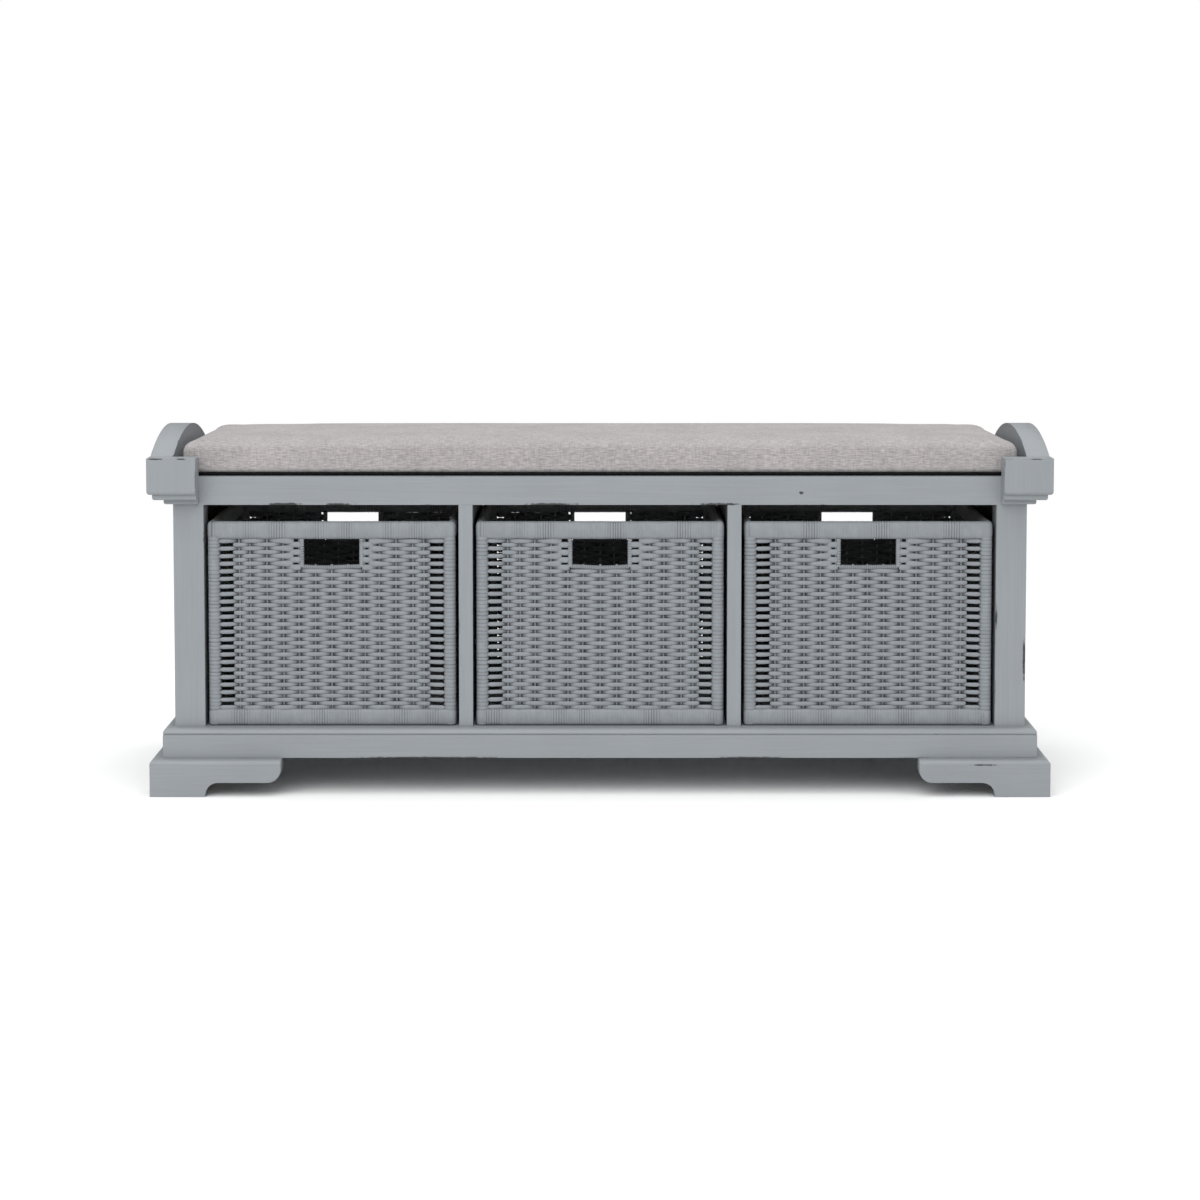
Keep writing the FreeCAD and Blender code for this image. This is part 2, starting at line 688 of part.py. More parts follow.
def bead_waste(outer, outward):
    """What is rounded off a bead's lower outer edge."""
    inward = "-" if outward == "+" else "+"
    rounded = "%s %s bead_round" % (outer, inward)
    past = "%s %s %s" % (outer, outward, OVERCUT)
    below = "bead_z - " + OVERCUT
    return [
        (past, below),
        (past, "bead_z + bead_round"),
        (outer, "bead_z + bead_round"),
        (rounded, "bead_z", rounded, "bead_z + bead_round", "x"),
        (rounded, below),
    ]


def make_arms(dowel_holes, screw_holes):
    beads = []
    for side in (-1, 1):
        block_x = "side_x - arm_block_width"
        front = new_body()
        plan = rectangle(block_x, "side_x", "front_y", "post_y")
        shaped(front, "Pad", "XY", plan, "arm_low_z", "arm_top_z", side)
        low_x, high_x = widened(*span(block_x, "side_x", side))
        shaped(front, "Pocket", "YZ", arm_waste("front_y", "-"), low_x, high_x)
        side_waste = arm_waste("side_x", "+")
        shaped(front, "Pocket", "XZ", side_waste, *widened("front_y", "post_y"), side)
        keep(cut(front, dowel_holes), named("arm_block_front", side))

        rear = new_body()
        plan = rectangle("arm_inner_x", "side_x", "arm_back_y", "rear_y")
        shaped(rear, "Pad", "XY", plan, "arm_low_z", "arm_top_z", side)
        shaped(rear, "Pocket", "XZ", side_waste, *widened("arm_back_y", "rear_y"), side)
        keep(cut(rear, dowel_holes), named("arm_block_rear", side))

        rail = new_body()
        arch_z = "arm_crest_z - arch_radius"
        shaped(rail, "Pad", "YZ", [
            ("post_y", "arm_low_z"),
            ("arm_back_y", "arm_low_z"),
            ("arm_back_y", "arm_top_z"),
            ("arch_start_y", "arm_top_z", "arch_y", arch_z, "x"),
            ("post_y", "arm_top_z"),
        ], *span("arm_inner_x", "side_x", side))
        shaped(rail, "Pocket", "XZ", side_waste, *widened("post_y", "arm_back_y"), side)
        keep(cut(rail, screw_holes), named("arm_rail", side))

        bead = new_body()
        plan = [
            (block_x, "bead_y"),
            ("bead_x", "bead_y"),
            ("bead_x", "rear_y"),
            ("post_x", "rear_y"),
            ("post_x", "post_y"),
            (block_x, "post_y"),
        ]
        shaped(bead, "Pad", "XY", plan, "bead_z", "arm_low_z", side)
        shaped(bead, "Pocket", "YZ", bead_waste("bead_y", "-"), low_x, high_x)
        waste = bead_waste("bead_x", "+")
        shaped(bead, "Pocket", "XZ", waste, *widened("bead_y", "rear_y"), side)
        beads.append(bead)
    keep(group(beads), "arm_beads")


# --- Seat pad ---


def cushion_plan():
    """A rectangle with four round corners."""
    near_y, far_y = "cushion_front_y + cushion_corner", "cushion_rear_y - cushion_corner"
    left_x, right_x = "-(cushion_x - cushion_corner)", "cushion_x - cushion_corner"
    return [
        (right_x, "cushion_front_y"),
        ("cushion_x", near_y, right_x, near_y, "y"),
        ("cushion_x", far_y),
        (right_x, "cushion_rear_y", right_x, far_y, "x"),
        (left_x, "cushion_rear_y"),
        ("-(cushion_x)", far_y, left_x, far_y, "y"),
        ("-(cushion_x)", near_y),
        (left_x, "cushion_front_y", left_x, near_y, "x"),
    ]


def make_cushion():
    strips = []
    for side in (-1, 1):
        x_span = span("(cushion_x - strip_length) / 2", "(cushion_x + strip_length) / 2", side)
        for middle in ("-strip_offset", "strip_offset"):
            y_span = (middle + " - strip_width / 2", middle + " + strip_width / 2")
            strips.append(board(x_span, y_span, ("seat_z", "strip_z")))
    keep(group(strips), "hook_and_loop_strips")
    inset = "cushion_base_inset"
    base_x = ("-(cushion_x - %s)" % inset, "cushion_x - " + inset)
    base_y = ("cushion_front_y + " + inset, "cushion_rear_y - " + inset)
    keep(board(base_x, base_y, ("strip_z", "cushion_z")), "cushion_board")
    cushion = new_body()
    pad = shaped(cushion, "Pad", "XY", cushion_plan(), "cushion_z", "cushion_z + cushion_height")
    doc.recompute()
    rounding = cushion.newObject("PartDesign::Fillet", "Edges")
    flat_edges = []
    for number, edge in enumerate(pad.Shape.Edges, start=1):
        if edge.BoundBox.ZLength < edge.Length / 2:
            flat_edges.append("Edge%d" % number)
    rounding.Base = (pad, flat_edges)
    rounding.setExpression("Radius", bound("cushion_edge"))
    cushion.Tip = rounding
    keep(cushion, "cushion")


# --- Baskets ---


def bar_plan(x_centre, near_y, far_y, rounded_side):
    """A front or back bar from above, its two outer corners round."""
    left = "%s - basket_half" % x_centre
    right = "%s + basket_half" % x_centre
    inner_left, inner_right = left + " + basket_corner", right + " - basket_corner"
    if rounded_side == "near":
        corner_y = near_y + " + basket_corner"
        return [
            (inner_right, near_y),
            (right, corner_y, inner_right, corner_y, "y"),
            (right, far_y),
            (left, far_y),
            (left, corner_y),
            (inner_left, near_y, inner_left, corner_y, "x"),
        ]
    corner_y = far_y + " - basket_corner"
    return [
        (left, near_y),
        (right, near_y),
        (right, corner_y),
        (inner_right, far_y, inner_right, corner_y, "x"),
        (inner_left, far_y),
        (left, corner_y, inner_left, corner_y, "y"),
    ]


def ring(x_centre, low_z, high_z):
    """Four bars round a basket, at one level."""
    bars = []
    front_inner, back_inner = "basket_y + basket_bar", "basket_back_y - basket_bar"
    ends = (("basket_y", front_inner, "near"), (back_inner, "basket_back_y", "far"))
    for near, far, rounded_side in ends:
        bar = new_body()
        shaped(bar, "Pad", "XY", bar_plan(x_centre, near, far, rounded_side), low_z, high_z)
        bars.append(bar)
    for x_span in basket_side_spans(x_centre, "0", "basket_bar"):
        bars.append(board(x_span, (front_inner, back_inner), (low_z, high_z)))
    return bars


def basket_side_spans(x_centre, outer, inner):
    """The x spans of a left and a right piece, between two insets from the sides."""
    left = "%s - basket_half" % x_centre
    right = "%s + basket_half" % x_centre
    return (
        ("%s + (%s)" % (left, outer), "%s + (%s)" % (left, inner)),
        ("%s - (%s)" % (right, inner), "%s - (%s)" % (right, outer)),
    )


def corner_bars(x_centre):
    """Four upright bars, the outer edge of each one round."""
    bars = []
    level = ("weave_low_z", "weave_high_z")
    sides = (("+", x_centre + " - basket_half"), ("-", x_centre + " + basket_half"))
    for sign, side_x in sides:
        for turn, end_y in (("+", "basket_y"), ("-", "basket_back_y")):
            inner_x = "%s %s basket_corner_bar" % (side_x, sign)
            inner_y = "%s %s basket_corner_bar" % (end_y, turn)
            round_x = "%s %s basket_corner" % (side_x, sign)
            round_y = "%s %s basket_corner" % (end_y, turn)
            bar = new_body()
            shaped(bar, "Pad", "XY", [
                (inner_x, end_y),
                (inner_x, inner_y),
                (side_x, inner_y),
                (side_x, round_y),
                (round_x, end_y, round_x, round_y, "x"),
            ], *level)
            bars.append(bar)
    return bars


def make_basket(name, x_centre):
    keep(group(ring(x_centre, "weave_high_z", "basket_top_z")), name + "_rim")
    frame = ring(x_centre, "basket_z", "weave_low_z") + corner_bars(x_centre)
    keep(group(frame), name + "_frame")

    left, right = ("%s %s (basket_half - basket_corner_bar)" % (x_centre, sign) for sign in "-+")
    hole_left, hole_right = ("%s %s hand_hole_width / 2" % (x_centre, sign) for sign in "-+")
    hole_z = "weave_high_z - hand_hole_height"
    outline = [
        (left, "weave_low_z"),
        (right, "weave_low_z"),
        (right, "weave_high_z"),
        (hole_right, "weave_high_z"),
        (hole_right, hole_z),
        (hole_left, hole_z),
        (hole_left, "weave_high_z"),
        (left, "weave_high_z"),
    ]
    front_y = "basket_y + weave_inset"
    back_y = "basket_back_y - weave_inset"
    walls = {"front": (front_y, front_y + " + weave"), "back": (back_y + " - weave", back_y)}
    for wall, y_span in walls.items():
        panel = new_body()
        shaped(panel, "Pad", "XZ", outline, *y_span)
        keep(panel, "%s_%s_weave" % (name, wall))

    between = ("basket_y + basket_corner_bar", "basket_back_y - basket_corner_bar")
    spans = basket_side_spans(x_centre, "weave_inset", "weave_inset + weave")
    sides = [board(x_span, between, ("weave_low_z", "weave_high_z")) for x_span in spans]
    keep(group(sides), name + "_side_weaves")

    inside_x = [x_centre + sign + "(basket_half - basket_bar)" for sign in (" - ", " + ")]
    inside_y = ("basket_y + basket_bar", "basket_back_y - basket_bar")
    floor_z = "basket_z + weave_inset"
    keep(board(inside_x, inside_y, (floor_z, floor_z + " + weave")), name + "_floor")


# --- Checks and files ---


def check():
    """Stops if an object failed, if a pocket cut nothing or if a shape isn't sound."""
    for obj in doc.Objects:
        if "Invalid" in obj.State or "Error" in obj.State:
            raise RuntimeError("%s (%s) failed: %s" % (obj.Name, obj.Label, obj.State))
        if obj.TypeId == "PartDesign::Pocket":
            before = obj.BaseFeature.Shape.Volume
            if obj.Shape.Volume > before - LEAST_CUT:
                raise RuntimeError(obj.Name + " cut nothing")
    for label, obj in subparts.items():
        if obj.Label != label:
            raise RuntimeError("two pieces are called " + label)
        if obj.Shape.isNull() or not obj.Shape.isValid():
            raise RuntimeError(label + " has no sound shape")


def write_files():
    os.makedirs("parts", exist_ok=True)
    for label, obj in subparts.items():
        obj.Shape.exportStep("parts/%s.step" % label)


fill_sheet()
dowel_tool = make_dowels()
screw_tool = make_screws()
make_base()
make_feet()
make_corner_blocks(screw_tool)
make_case(dowel_tool, screw_tool)
make_deck(screw_tool)
make_arms(dowel_tool, screw_tool)
make_cushion()
make_basket("basket_left", "-(bay_width + divider_board)")
make_basket("basket_middle", "0")
make_basket("basket_right", "(bay_width + divider_board)")
doc.recompute()
check()
write_files()
print("%d sub-parts written" % len(subparts))
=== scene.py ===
"""Looks of a painted entryway bench with woven pull-out baskets and a linen seat pad.

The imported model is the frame: its boards stay and get their finish here, while the
seat pad and the basket work are made as soft and woven pieces in its place.
Everything is in metres, +Z up, with the bench's front towards -Y.
"""

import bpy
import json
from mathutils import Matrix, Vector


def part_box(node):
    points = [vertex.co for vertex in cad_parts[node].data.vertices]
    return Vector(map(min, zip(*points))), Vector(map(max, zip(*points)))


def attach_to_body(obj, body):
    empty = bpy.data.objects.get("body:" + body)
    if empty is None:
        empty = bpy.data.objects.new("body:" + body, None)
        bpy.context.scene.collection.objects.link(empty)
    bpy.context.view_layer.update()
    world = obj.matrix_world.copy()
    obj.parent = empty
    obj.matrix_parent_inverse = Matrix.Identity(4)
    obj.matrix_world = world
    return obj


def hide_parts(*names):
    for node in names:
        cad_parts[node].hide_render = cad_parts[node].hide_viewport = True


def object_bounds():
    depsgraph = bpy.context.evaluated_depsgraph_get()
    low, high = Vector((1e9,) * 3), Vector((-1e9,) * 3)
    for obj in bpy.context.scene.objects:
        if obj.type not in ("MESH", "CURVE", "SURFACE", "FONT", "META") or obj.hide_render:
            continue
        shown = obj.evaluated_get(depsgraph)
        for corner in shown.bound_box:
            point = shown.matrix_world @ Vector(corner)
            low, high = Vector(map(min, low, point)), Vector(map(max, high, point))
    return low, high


bl_info = {
    "name": "Entryway Bench",
    "version": (1, 0, 0),
    "blender": (4, 5, 0),
    "location": "View3D > Sidebar > Bench",
    "description": "Finishes, seat pad and woven baskets of an entryway bench",
    "category": "Object",
}

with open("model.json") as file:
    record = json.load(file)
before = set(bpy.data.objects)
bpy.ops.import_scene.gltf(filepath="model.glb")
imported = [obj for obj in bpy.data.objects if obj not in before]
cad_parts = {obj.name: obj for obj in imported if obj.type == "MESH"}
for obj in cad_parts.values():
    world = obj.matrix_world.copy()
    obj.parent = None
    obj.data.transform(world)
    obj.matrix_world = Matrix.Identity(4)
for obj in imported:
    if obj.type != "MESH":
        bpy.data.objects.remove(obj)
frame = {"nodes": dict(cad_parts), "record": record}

import json
import math

import bmesh
import bpy
import numpy as np
from bpy.props import FloatProperty, FloatVectorProperty, IntProperty, PointerProperty
from bpy.props import StringProperty
from mathutils import Vector

CAD_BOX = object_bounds()
MM = 0.001
BASKETS = ("basket_left", "basket_middle", "basket_right")
WALLS = ("front", "back", "left", "right")
# Point attribute with the cane's painted shade: how far each point is darkened to stand in for the shadow in
# knots behind stakes, in wrap grooves and inside a basket.
PAINTED_SHADE = "painted_shade"
RUBBED_SPOTS = (  # x, y, z, half length and half height in millimetres
    (-432, -164, 395.5, 24, 1.9),
    (-354, -164, 395.5, 17, 1.7),
    (-66, -164, 395.5, 36, 1.5),
    (163, -164, 395.5, 28, 1.6),
    (273, -164, 411.0, 2.5, 2.0),
    (-484, -170, 79.5, 40, 0.9),
    (-11, -170, 84.0, 13, 1.1),
    (330, -170, 79.5, 26, 0.8),
    (-231, -179, 51.2, 92, 1.1),
    (204, -179, 51.2, 40, 1.1),
    (577, -164, 182.0, 1.6, 27),
    (-537, -164, 346.0, 1.5, 12),
    (539, -164, 240.0, 1.2, 16),
    (-597, -195, 459.6, 9, 0.9),
    (-562, -195, 459.6, 6, 0.9),
    (586, -195, 459.6, 9, 0.8),
    (-440, -195, 5.0, 20, 1.2),
    (520, -195, 44.0, 16, 1.0),
)
SPOT_DEPTH = 6 * MM  # how far a rubbed spot reaches in from its edge
LOWER_BAR_RISE = 1.6 * MM  # how far the lower bars reach up past the walls' lowest level
MEETING = 0.01 * MM  # points this close are one point
WOVEN_FROM_OUTSIDE = {  # how the strands end in a front wall
    "side_turn": 1.0,  # how far they run on past the last stake, as a share of the turn
    "hole_turn": 1.8,
    "side_height": 1.0,  # how high their ends are, as a share of a strand's height
    "hole_height": 1.4,
    "sill": 0.0,  # added to the border under the hand hole
}
WOVEN_TIGHT = {  # the same in the other walls, where less light may come through
    "side_turn": 2.1,
    "hole_turn": 2.6,
    "side_height": 1.75,
    "hole_height": 1.6,
    "sill": 2.5 * MM,
}


def srgb(red, green, blue):
    """A colour given as 0-255 display values, in the linear values that shaders take."""
    def linear(value):
        value /= 255
        return value / 12.92 if value <= 0.04045 else ((value + 0.055) / 1.055) ** 2.4
    return (linear(red), linear(green), linear(blue))


# --- Settings -------------------------------------------------------------------


def length(name, description, millimetres):
    return FloatProperty(name=name, description=description, default=millimetres * MM,
                         min=0.0, unit="LENGTH", precision=4)


def factor(name, description, value):
    return FloatProperty(name=name, description=description, default=value,
                         min=0.0, max=1.0, subtype="FACTOR")


def colour(name, description, value):
    return FloatVectorProperty(name=name, description=description, default=value,
                               min=0.0, max=1.0, size=3, subtype="COLOR")


class BenchPaint(bpy.types.PropertyGroup):
    """Painted timber."""

    paint: colour("Paint", "Colour of the grey satin paint", srgb(128, 132.5, 136))
    worn: colour("Worn", "Colour where the paint is rubbed through", srgb(52, 51, 52))
    gloss: factor("Roughness", "Roughness of the paint film", 0.46)
    wear: factor("Wear", "How much of the edges is rubbed through", 0.34)
    edge: length("Edge", "Rounding of the sawn edges", 0.5)
    wear_width: length("Wear width", "How far the rubbing reaches from an edge", 2.6)


class BenchCane(bpy.types.PropertyGroup):
    """Woven and wrapped cane."""

    cane: colour("Cane", "Colour of the painted cane", srgb(123, 127.5, 131.5))
    # Painted shade: the colour below darkens the cane where shadow falls, and Inside sets how much of it
    # goes on the inner sides of the walls, for the shadow inside a basket.
    painted_shade: colour("Hollows", "Colour of the cane where the paint doesn't reach", srgb(30, 31, 33))
    inside: factor("Inside", "How much of the paint is missing inside a basket", 0.5)
    row_pitch: length("Row pitch", "Distance between two weaving rows", 5.15)
    strand_height: length("Strand height", "Height of a weaving strand", 5.25)
    strand_thickness: length("Strand thickness", "Thickness of a weaving strand", 2.8)
    swing: length("Swing", "How far a strand swings out and in round the stakes", 2.5)
    tuck: length("Tuck", "How far the top and bottom rows go in under the bars", 0.5)
    stake: length("Stake", "Diameter of the upright stakes", 2.6)
    stake_pitch: length("Stake pitch", "Distance between two stakes", 22.0)
    stakes: IntProperty(name="Stakes", description="Evenly spaced stakes in a wall",
                        default=11, min=3)
    side_stake: length("Side stake", "Last stake beyond the even ones", 16.5)
    side_gap: length("Side gap", "From the last stake to the corner bar", 24.6)
    turn: length("Turn", "How far a strand runs on before it turns back round a stake", 8.0)
    corner_bar: length("Corner bar", "Thickness of the corner bars", 18.4)
    wrap: length("Wrap pitch", "Width of one turn of the wrapping", 3.5)
    groove: length("Groove", "Depth between two turns of the wrapping", 0.5)
    border: length("Border", "Width of the border round a hand hole", 6.4)


class BenchLinen(bpy.types.PropertyGroup):
    """Seat pad cover."""

    linen: colour("Linen", "Colour of the seat pad's cover", srgb(151, 147.5, 148))
    voxel: length("Voxel", "Mesh size of the simulated pad", 6.0)
    swell: length("Swell", "Furthest that the filling pushes the cover", 4.0)
    end_room: length("End room", "How much longer the uncut pad is at each end", 5.0)
    side_slack: length("Side slack", "How much narrower the uncut pad is at each side", 1.0)
    top_slack: length("Top slack", "How much lower the uncut pad is", 7.2)
    skirt: length("Skirt", "How far the cover reaches down over the board's edge", 0.9)
    crown: length("Crown", "How much lower the pad is at its ends than in its middle", 3.6)
    tuck: length("Tuck", "How far the cover's lower edge goes in under the pad", 5.5)
    tuck_height: length("Tuck height", "How high above its lower edge the cover turns in", 13.0)
    pressure: FloatProperty(name="Pressure", description="Pressure of the filling",
                            default=4.0, min=0.0)
    frames: IntProperty(name="Frames", description="Frames simulated", default=20, min=1)
    thread: length("Thread", "Distance between two threads", 1.1)


class BenchStage(bpy.types.PropertyGroup):
    """Camera, floor and lamps."""

    camera_ahead: length("Camera ahead", "Camera ahead of the bench's front", 3707.6)
    camera_height: length("Camera height", "Camera above the floor", 802.7)
    tilt: FloatProperty(name="Tilt", description="Downward tilt of the camera",
                        default=math.radians(3.9), subtype="ANGLE")
    lens: FloatProperty(name="Lens", description="Focal length", default=83.13,
                        unit="CAMERA")
    shift: FloatProperty(name="Shift", description="Vertical lens shift", default=-0.1732)
    floor: colour("Floor", "Colour of the floor", (0.9, 0.9, 0.9))
    floor_reach: length("Floor reach", "How far the floor is seen before it fades out", 2600.0)
    sky: FloatProperty(name="Sky", description="Strength of the surrounding light",
                       default=1.23, min=0.0)
    low_back: FloatProperty(name="Low back", description="Light from low behind the bench",
                            default=0.06, min=0.0)
    low_side: FloatProperty(name="Low side", description="Light from low beside the bench",
                            default=0.6, min=0.0)
    key: FloatProperty(name="Key lamp", description="Power of the front lamp",
                       default=55.0, min=0.0, unit="POWER")
    top: FloatProperty(name="Top lamp", description="Power of the overhead lamp",
                       default=25.0, min=0.0, unit="POWER")


# --- Node trees -----------------------------------------------------------------


def add_node(tree, kind, inputs=None, **settings):
    """A shader node with its settings and unlinked input values."""
    node = tree.nodes.new("ShaderNode" + kind)
    for name, value in settings.items():
        setattr(node, name, value)
    for name, value in (inputs or {}).items():
        if isinstance(value, bpy.types.NodeSocket):
            tree.links.new(value, node.inputs[name])
        else:
            node.inputs[name].default_value = value
    return node


def maths(tree, operation, first, second=0.0, clamp=False):
    return add_node(tree, "Math", {0: first, 1: second}, operation=operation,
                    use_clamp=clamp).outputs[0]


def ramp(tree, value, low, high, to_low=0.0, to_high=1.0):
    """Value from low to high, spread over to_low to to_high."""
    inputs = {"Value": value, "From Min": low, "From Max": high,
              "To Min": to_low, "To Max": to_high}
    return add_node(tree, "MapRange", inputs).outputs["Result"]


def blend_colours(tree, amount, first, second, kind="MIX"):
    node = tree.nodes.new("ShaderNodeMix")
    node.data_type = "RGBA"
    node.blend_type = kind
    for socket, value in zip((node.inputs[0], node.inputs[6], node.inputs[7]),
                             (amount, first, second)):
        if isinstance(value, bpy.types.NodeSocket):
            tree.links.new(value, socket)
        else:
            socket.default_value = value
    return node.outputs[2]


def noise(tree, vector, scale, detail=3.0, roughness=0.5):
    inputs = {"Vector": vector, "Scale": scale, "Detail": detail, "Roughness": roughness}
    return add_node(tree, "TexNoise", inputs).outputs["Fac"]


def stretched(tree, vector, scale):
    return add_node(tree, "Mapping", {"Vector": vector, "Scale": scale}).outputs[0]


def new_group(name, inputs, outputs):
    """An empty node group with named sockets. Returns its tree, input and output nodes."""
    tree = bpy.data.node_groups.new(name, "ShaderNodeTree")
    for socket, (kind, value) in inputs.items():
        made = tree.interface.new_socket(socket, in_out="INPUT", socket_type="NodeSocket" + kind)
        if value is not None:
            made.default_value = value
    for socket, kind in outputs.items():
        tree.interface.new_socket(socket, in_out="OUTPUT", socket_type="NodeSocket" + kind)
    return tree, tree.nodes.new("NodeGroupInput"), tree.nodes.new("NodeGroupOutput")


def use_group(tree, group, **values):
    node = tree.nodes.new("ShaderNodeGroup")
    node.node_tree = group
    for name, value in values.items():
        socket = node.inputs[name.replace("_", " ")]
        if isinstance(value, bpy.types.NodeSocket):
            tree.links.new(value, socket)
        else:
            socket.default_value = value
    return node


def rubbed_spots_group():
    """Mask of the spots on the front that knocks and feet have rubbed through."""
    tree, given, result = new_group("Rubbed spots", {"Position": ("Vector", None)},
                                    {"Mask": "Float"})
    rough = noise(tree, given.outputs["Position"], scale=160.0, detail=4.0, roughness=0.65)
    rough = maths(tree, "MULTIPLY", maths(tree, "SUBTRACT", rough, 0.5), 2.2)
    total = 0.0
    for x, y, z, half_length, half_height in RUBBED_SPOTS:
        centre = (x * MM, y * MM, z * MM)
        size = (half_length * MM, SPOT_DEPTH, half_height * MM)
        away = add_node(tree, "VectorMath", {0: given.outputs["Position"], 1: centre},
                        operation="SUBTRACT").outputs[0]
        away = add_node(tree, "VectorMath", {0: away, 1: size}, operation="DIVIDE").outputs[0]
        away = add_node(tree, "VectorMath", {0: away}, operation="LENGTH").outputs["Value"]
        spot = ramp(tree, maths(tree, "ADD", away, rough), 1.15, 0.7)
        total = maths(tree, "MAXIMUM", total, spot)
    tree.links.new(total, result.inputs["Mask"])
    return tree


def edge_wear_group():
    """Mask of the patches along edges where paint is rubbed through."""
    tree, given, result = new_group(
        "Edge wear",
        {"Position": ("Vector", None), "Reach": ("Float", 0.002), "Amount": ("Float", 0.3)},
        {"Mask": "Float"},
    )
    geometry = add_node(tree, "NewGeometry")
    softened = add_node(tree, "Bevel", {"Radius": given.outputs["Reach"]}, samples=6)
    facing = add_node(tree, "VectorMath", {0: softened.outputs[0], 1: geometry.outputs["Normal"]},
                      operation="DOT_PRODUCT").outputs["Value"]
    edge = ramp(tree, facing, 0.99, 0.93)
    patches = noise(tree, given.outputs["Position"], scale=14.0, detail=3.0, roughness=0.6)
    threshold = ramp(tree, given.outputs["Amount"], 0.0, 1.0, 0.72, 0.4)
    shown = maths(tree, "SUBTRACT", patches, threshold)
    shown = ramp(tree, shown, 0.0, 0.05)
    flecks = noise(tree, given.outputs["Position"], scale=420.0, detail=3.0, roughness=0.6)
    flecks = ramp(tree, flecks, 0.36, 0.56)
    mask = maths(tree, "MULTIPLY", maths(tree, "MULTIPLY", edge, shown), flecks, clamp=True)
    tree.links.new(mask, result.inputs["Mask"])
    return tree


def brush_marks_group():
    """Fine streaks left by brushing paint along the grain."""
    tree, given, result = new_group(
        "Brush marks",
        {"Position": ("Vector", None), "Stretch": ("Vector", (1.0, 1.0, 1.0))},
        {"Tone": "Float", "Height": "Float"},
    )
    along = add_node(tree, "VectorMath", {0: given.outputs["Position"], 1: given.outputs["Stretch"]},
                     operation="MULTIPLY").outputs[0]
    fine = noise(tree, along, scale=1.0, detail=4.0, roughness=0.55)
    broad = noise(tree, given.outputs["Position"], scale=7.0, detail=2.0)
    tone = maths(tree, "ADD", maths(tree, "MULTIPLY", fine, 0.6), maths(tree, "MULTIPLY", broad, 0.4))
    tree.links.new(tone, result.inputs["Tone"])
    tree.links.new(fine, result.inputs["Height"])
    return tree


def cane_fibre_group():
    """Tone and height of paper cane: fibres, and a slow change from strand to strand."""
    tree, given, result = new_group(
        "Cane fibre",
        {"Position": ("Vector", None), "Stretch": ("Vector", (1.0, 1.0, 1.0))},
        {"Tone": "Float", "Height": "Float"},
    )
    along = add_node(tree, "VectorMath", {0: given.outputs["Position"], 1: given.outputs["Stretch"]},
                     operation="MULTIPLY").outputs[0]
    fibre = noise(tree, along, scale=1.0, detail=3.0, roughness=0.6)
    strand = noise(tree, given.outputs["Position"], scale=90.0, detail=1.0)
    tone = maths(tree, "ADD", maths(tree, "MULTIPLY", fibre, 0.5), maths(tree, "MULTIPLY", strand, 0.5))
    tree.links.new(tone, result.inputs["Tone"])
    tree.links.new(fibre, result.inputs["Height"])
    return tree


def linen_group():
    """Plain-woven linen: crossing threads and uneven slubs along the weft."""
    tree, given, result = new_group(
        "Linen weave",
        {"Position": ("Vector", None), "Thread": ("Float", 0.0011)},
        {"Tone": "Float", "Height": "Float"},
    )
    position = add_node(tree, "SeparateXYZ", {0: given.outputs["Position"]})
    normal = add_node(tree, "SeparateXYZ", {0: add_node(tree, "NewGeometry").outputs["Normal"]})
    end = maths(tree, "GREATER_THAN", maths(tree, "ABSOLUTE", normal.outputs[0]), 0.72)
    over = maths(tree, "ADD", position.outputs[1], position.outputs[2])

    def either(face, side):
        inputs = {"Factor": end, "A": face, "B": side}
        return add_node(tree, "Mix", inputs, data_type="FLOAT").outputs[0]

    along = either(position.outputs[0], position.outputs[1])
    across = either(over, position.outputs[2])
    frequency = maths(tree, "DIVIDE", 2 * math.pi, given.outputs["Thread"])
    flat = add_node(tree, "CombineXYZ", {0: along, 1: across}).outputs[0]
    wobble = maths(tree, "MULTIPLY", noise(tree, flat, scale=60.0, detail=2.0), 0.0016)
    warp = maths(tree, "SINE", maths(tree, "MULTIPLY", maths(tree, "ADD", along, wobble), frequency))
    weft = maths(tree, "SINE", maths(tree, "MULTIPLY", maths(tree, "ADD", across, wobble), frequency))
    threads = maths(tree, "MULTIPLY", warp, weft)
    slubs = noise(tree, stretched(tree, flat, (95.0, 580.0, 1.0)), scale=1.0, detail=4.0, roughness=0.62)
    thick = noise(tree, stretched(tree, flat, (90.0, 700.0, 1.0)), scale=1.0, detail=1.0, roughness=0.5)
    thick = ramp(tree, thick, 0.56, 0.72)
    threads_up = noise(tree, stretched(tree, flat, (420.0, 70.0, 1.0)), scale=1.0, detail=3.0, roughness=0.6)
    cloudy = noise(tree, flat, scale=14.0, detail=2.0)
    tone = maths(tree, "MULTIPLY", slubs, 0.6)
    tone = maths(tree, "ADD", tone, maths(tree, "MULTIPLY", threads_up, 0.25))
    tone = maths(tree, "ADD", tone, maths(tree, "MULTIPLY", cloudy, 0.15))
    tone = ramp(tree, tone, 0.4, 0.6)
    tone = maths(tree, "SUBTRACT", tone, maths(tree, "MULTIPLY", thick, 0.3), clamp=True)
    height = maths(tree, "ADD", maths(tree, "MULTIPLY", threads, 0.22), slubs)
    tree.links.new(tone, result.inputs["Tone"])
    tree.links.new(height, result.inputs["Height"])
    return tree


# --- Materials ------------------------------------------------------------------


def new_material(name):
    material = bpy.data.materials.new(name)
    material.use_nodes = True
    tree = material.node_tree
    tree.nodes.clear()
    output = tree.nodes.new("ShaderNodeOutputMaterial")
    shader = tree.nodes.new("ShaderNodeBsdfPrincipled")
    tree.links.new(shader.outputs[0], output.inputs["Surface"])
    position = add_node(tree, "TexCoord").outputs["Object"]
    return material, tree, shader, position


def tinted(tree, tone, base, spread):
    """The base colour made darker and lighter by a tone that runs round 0.5."""
    darker = tuple(value * (1 - spread) for value in base) + (1.0,)
    lighter = tuple(min(1.0, value * (1 + spread)) for value in base) + (1.0,)
    return blend_colours(tree, ramp(tree, tone, 0.3, 0.7), darker, lighter)


